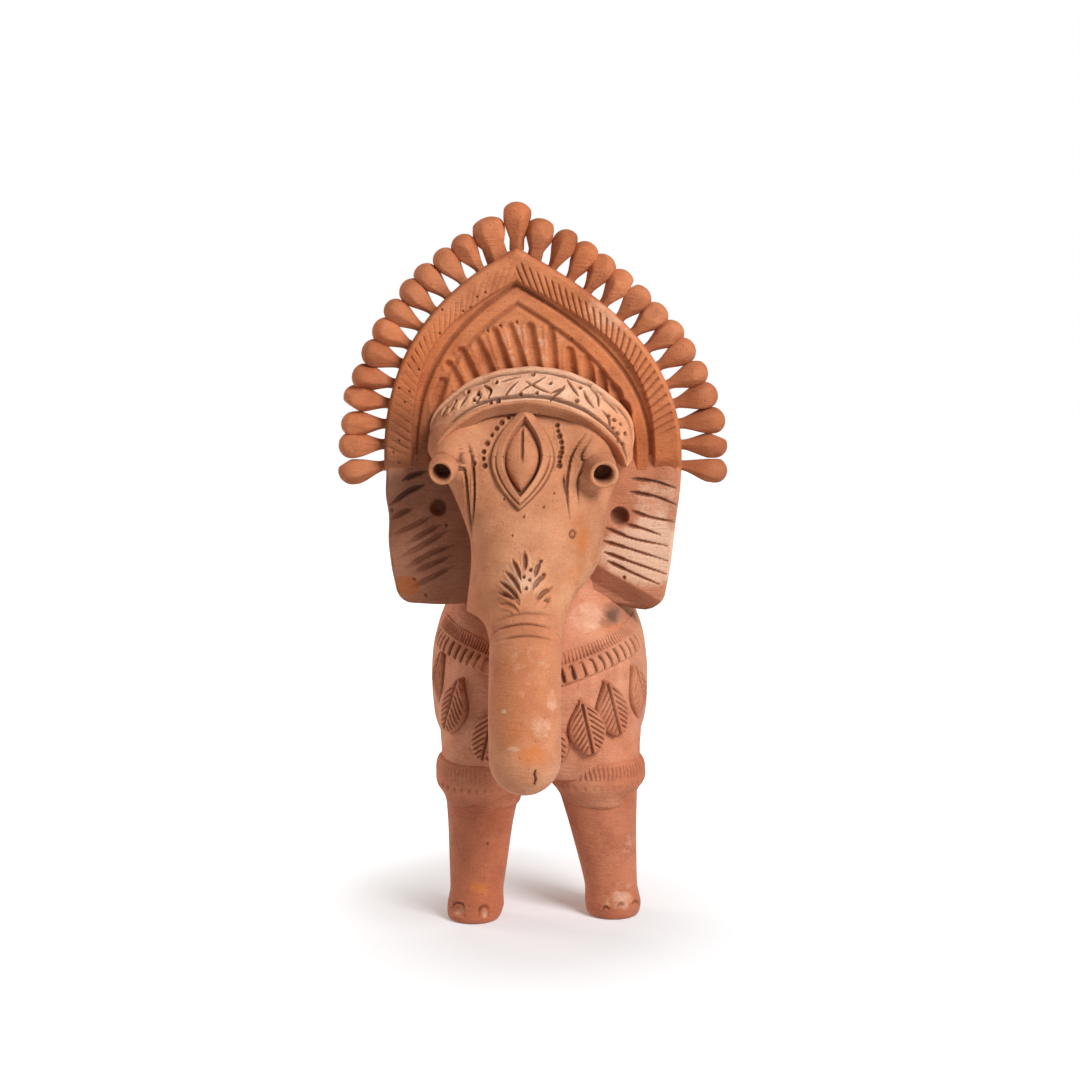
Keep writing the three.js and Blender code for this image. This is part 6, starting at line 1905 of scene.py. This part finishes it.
# Smoked where it stood near the fuel: browner and greyer than the barrel, with sooty cuts that also carry
# painted shade
clay_ear = fired_clay("smoked terracotta", CLAY_EAR, CLAY_EAR_LIGHT, CLAY_EAR_DARK)
for number, name in enumerate(("ear_left", "ear_right")):
    side = 1 if name == "ear_left" else -1
    low, high = node_box(name)
    outer_x = high[0] if side > 0 else low[0]
    down = np.linspace(0, 1, EAR_ROWS)[:, None]
    across = np.linspace(0, 1, EAR_COLUMNS)[None, :]
    height = high[2] - low[2] + EAR_RISE
    depth_down = down * height
    corner = np.clip((depth_down - (height - EAR_CORNER)) / EAR_CORNER, 0, 1)
    outer = outer_x - side * (EAR_TAPER[name] * down ** 1.5 + EAR_CORNER * (1 - rounding(corner, 2.0)))
    inner_top = HEAD_X + side * EAR_INNER
    inner = mix(inner_top, outer_x - side * EAR_FOOT_WIDTH, down ** 2.5)
    upright = places(0, 0, depth_down)
    outer = outer + unevenness(upright, *EAR_SIDE_WAVE, 150 + number)
    x = inner + (outer - inner) * across
    level = places(x, 0, 0)
    z = high[2] + EAR_RISE - depth_down - EAR_DROOP[name] * across ** 2 * blend(0.4, 1.0, down)
    z = z + unevenness(level, *EAR_FOOT_WAVE, 155 + number) * blend(0.75, 1.0, down)
    clay = WetClay(*drawn(places(x, low[1], z)))
    for start, bend, end in EAR_FOLDS[name]:
        if name == "ear_left":
            clay.stroke([start, bend, end], *LEFT_FOLD, thin=0.6)
            clay.stroke([start, mix(np.array(start), bend, 0.5), bend], *LEFT_FOLD_ROOT, thin=0.5)
        else:
            clay.stroke([start, bend, end], *RIGHT_FOLD, thin=0.3)
            clay.ridge(np.array((start, bend, end)) + RIGHT_FOLD_LIP_PLACE, *RIGHT_FOLD_LIP)
    for spot in EAR_CHIPS:
        clay.dot(spot, *EAR_CHIP)
    folds = clay.cut.copy()
    spot, width = EAR_HOLES[name]
    clay.dot(spot, width, EAR_HOLE_PUSH)
    hole = np.maximum(0, 1 - (np.hypot(clay.u - spot[0], clay.v - spot[1]) / (width / 2)) ** 6)
    depth = np.maximum(clay.depth(), EAR_HOLE_DEPTH * hole)
    bevel = (clay.u - BEVEL_START[0]) / (BEVEL_END[0] - BEVEL_START[0])
    below_bevel = mix(BEVEL_START[1], BEVEL_END[1], bevel) - clay.v
    if name == "ear_left":
        depth += BEVEL_SLOPE * np.clip(below_bevel, 0, BEVEL_LENGTH)
    to_edge = np.minimum(np.abs(x - outer), (height - depth_down))
    edge = EAR_EDGE * (1 - rounding(1 - np.clip(to_edge / EAR_EDGE, 0, 1), 2.0))
    lumps = unevenness(places(x, 0, z), *EAR_LUMPS, 140 + number)
    feather = (crown_low[1] - low[1] + 0.4) * (1 - blend(0.0, EAR_RISE + 5, depth_down))
    top = places(x, low[1] + depth + edge + lumps + feather, z)
    bottom = places(x, high[1] - edge + lumps, z)
    # painted shade in the fold cuts, the chips and the hole
    surface_marks = new_surface(top, np.maximum(0.7 * blend(0.1, 0.9, folds), 0.9 * hole))
    sooty = EAR_SMOKED[name] + 0.5 * blend(0.1, 0.8, folds)
    surface_marks[..., SMOKE] = sooty * blend(6.0, 24.0, clay.v) * blend(2, 12, depth_down)
    if name == "ear_left":
        pared = blend(0.0, 1.5, below_bevel)
        unscored = 1 - blend(0.1, 0.6, folds)
        # painted shade on the pared underside
        surface_marks[..., DIRT_AND_SHADE] = np.maximum(surface_marks[..., DIRT_AND_SHADE], 0.3 * pared)
        add_marks(surface_marks, clay.u, clay.v, EAR_SALTS, unscored * (1 - pared))
        add_marks(surface_marks, clay.u, clay.v, EAR_STREAKS)
        add_marks(surface_marks, clay.u, clay.v, EAR_UPPER_SALTS, unscored)
    else:
        add_marks(surface_marks, clay.u, clay.v, EAR_CORNER_FLASH)
        # dirt, and painted shade from the head, over the whole right ear
        surface_marks[..., DIRT_AND_SHADE] = np.maximum(surface_marks[..., DIRT_AND_SHADE], EAR_RIGHT_SHADE)
        surface_marks[..., SMOKE] += EAR_RIGHT_SMOKE
    make_piece(name.replace("_", "-"), name, clay_ear, pad_faces(top, bottom), surface_marks)


# Floor and light. A white paper sweep under a large soft lamp from the right and a white room
# that fills the shadows, so the clay's own colours read as they are.
PAPER = "#f1f5f9"
PAPER_SIZE = 2400.0
PAPER_GLOW = 1.25  # lifts the paper to white, shadows apart
SHADE_PLACE = (5.0, -60.0)  # middle of the part of the paper that keeps its shade
SHADE_STRETCH = 1.2  # it is deeper than it is wide
SHADE_KEPT = 40.0  # from its middle out to where the shade starts to fade
SHADE_GONE = 165.0
SHADE_LEAST_GLOW = 0.1
LAMP_AIM = (0.0, 0.0, 150.0)
LAMP_PLACE = (760.0, -900.0, 1020.0)
LAMP_SIZE = 580.0
LAMP_POWER = 21.5
LAMP_TINT = "#ffffff"
FILL_PLACE = (-900.0, 420.0, 330.0)
FILL_SIZE = 500.0
FILL_POWER = 4.2
FILL_TINT = "#ffe4d2"  # bounced off the clay-coloured bench beside it
ROOM_LIGHT = 0.22
ROOM_TINT = "#ffeee2"


def looked_at(tree):
    """1 where a surface is looked at, straight or by way of a shine, and 0 where it only gives light."""
    path = add_node(tree, "ShaderNodeLightPath")
    looked = path.outputs["Is Camera Ray"]
    for way in ("Is Glossy Ray", "Is Transmission Ray"):
        either = add_node(
            tree, "ShaderNodeMath", {"operation": "MAXIMUM"}, {0: looked, 1: path.outputs[way]}
        )
        looked = either.outputs[0]
    return looked


floor_mesh = bpy.data.meshes.new("paper sweep")
half = PAPER_SIZE / 2 * MM
floor_mesh.from_pydata(
    [(-half, -half, 0), (half, -half, 0), (half, half, 0), (-half, half, 0)], [], [(0, 1, 2, 3)]
)
floor = bpy.data.objects.new("paper sweep", floor_mesh)
bpy.context.scene.collection.objects.link(floor)
# Uncoated white paper: quite matt, white right to the edges, and grey only in the figure's own shade
paper = bpy.data.materials.new("white paper")
paper.use_nodes = True
tree = paper.node_tree
tree.nodes.clear()
matt = add_node(tree, "ShaderNodeBsdfDiffuse", {"Color": linear(PAPER)})
glow = add_node(tree, "ShaderNodeEmission", {"Color": (1, 1, 1, 1), "Strength": PAPER_GLOW})
place = add_node(tree, "ShaderNodeTexCoord").outputs["Object"]
beside = add_node(
    tree,
    "ShaderNodeVectorMath",
    {"operation": "SUBTRACT", 1: (SHADE_PLACE[0] * MM, SHADE_PLACE[1] * MM, 0.0)},
    {0: place},
)
stretched = add_node(
    tree,
    "ShaderNodeVectorMath",
    {"operation": "MULTIPLY", 1: (SHADE_STRETCH, 1.0, 0.0)},
    {0: beside.outputs[0]},
)
reach = add_node(tree, "ShaderNodeVectorMath", {"operation": "LENGTH"}, {0: stretched.outputs[0]})
fade = add_node(
    tree,
    "ShaderNodeMapRange",
    {"From Min": SHADE_KEPT * MM, "From Max": SHADE_GONE * MM, "To Min": SHADE_LEAST_GLOW, "To Max": 1.0},
    {"Value": reach.outputs["Value"]},
)
share = add_node(
    tree,
    "ShaderNodeMath",
    {"operation": "MULTIPLY"},
    {0: fade.outputs["Result"], 1: looked_at(tree)},
)
cover = add_node(
    tree,
    "ShaderNodeMixShader",
    {},
    {0: share.outputs[0], 1: matt.outputs[0], 2: glow.outputs[0]},
)
add_node(tree, "ShaderNodeOutputMaterial", {}, {"Surface": cover.outputs[0]})
floor_mesh.materials.append(paper)

world = bpy.data.worlds.new("white room")
bpy.context.scene.world = world
world.use_nodes = True
tree = world.node_tree
tree.nodes.clear()
room = add_node(tree, "ShaderNodeBackground", {"Color": linear(ROOM_TINT), "Strength": ROOM_LIGHT})
backdrop = add_node(tree, "ShaderNodeBackground", {"Color": (1, 1, 1, 1), "Strength": 1.0})
seen = add_node(
    tree,
    "ShaderNodeMixShader",
    {},
    {0: looked_at(tree), 1: room.outputs[0], 2: backdrop.outputs[0]},
)
add_node(tree, "ShaderNodeOutputWorld", {}, {"Surface": seen.outputs[0]})

for name, place, size, power, tint in (
    ("soft lamp", LAMP_PLACE, LAMP_SIZE, LAMP_POWER, LAMP_TINT),
    ("fill lamp", FILL_PLACE, FILL_SIZE, FILL_POWER, FILL_TINT),
):
    lamp_data = bpy.data.lights.new(name, "AREA")
    lamp_data.size = size * MM
    lamp_data.energy = power
    lamp_data.color = linear(tint)[:3]
    lamp = bpy.data.objects.new(name, lamp_data)
    lamp.location = np.array(place) * MM
    aim = np.array(LAMP_AIM) * MM - np.array(lamp.location)
    lamp.rotation_euler = (
        math.atan2(math.hypot(aim[0], aim[1]), -aim[2]),
        0,
        math.atan2(aim[1], aim[0]) - math.pi / 2,
    )
    bpy.context.scene.collection.objects.link(lamp)
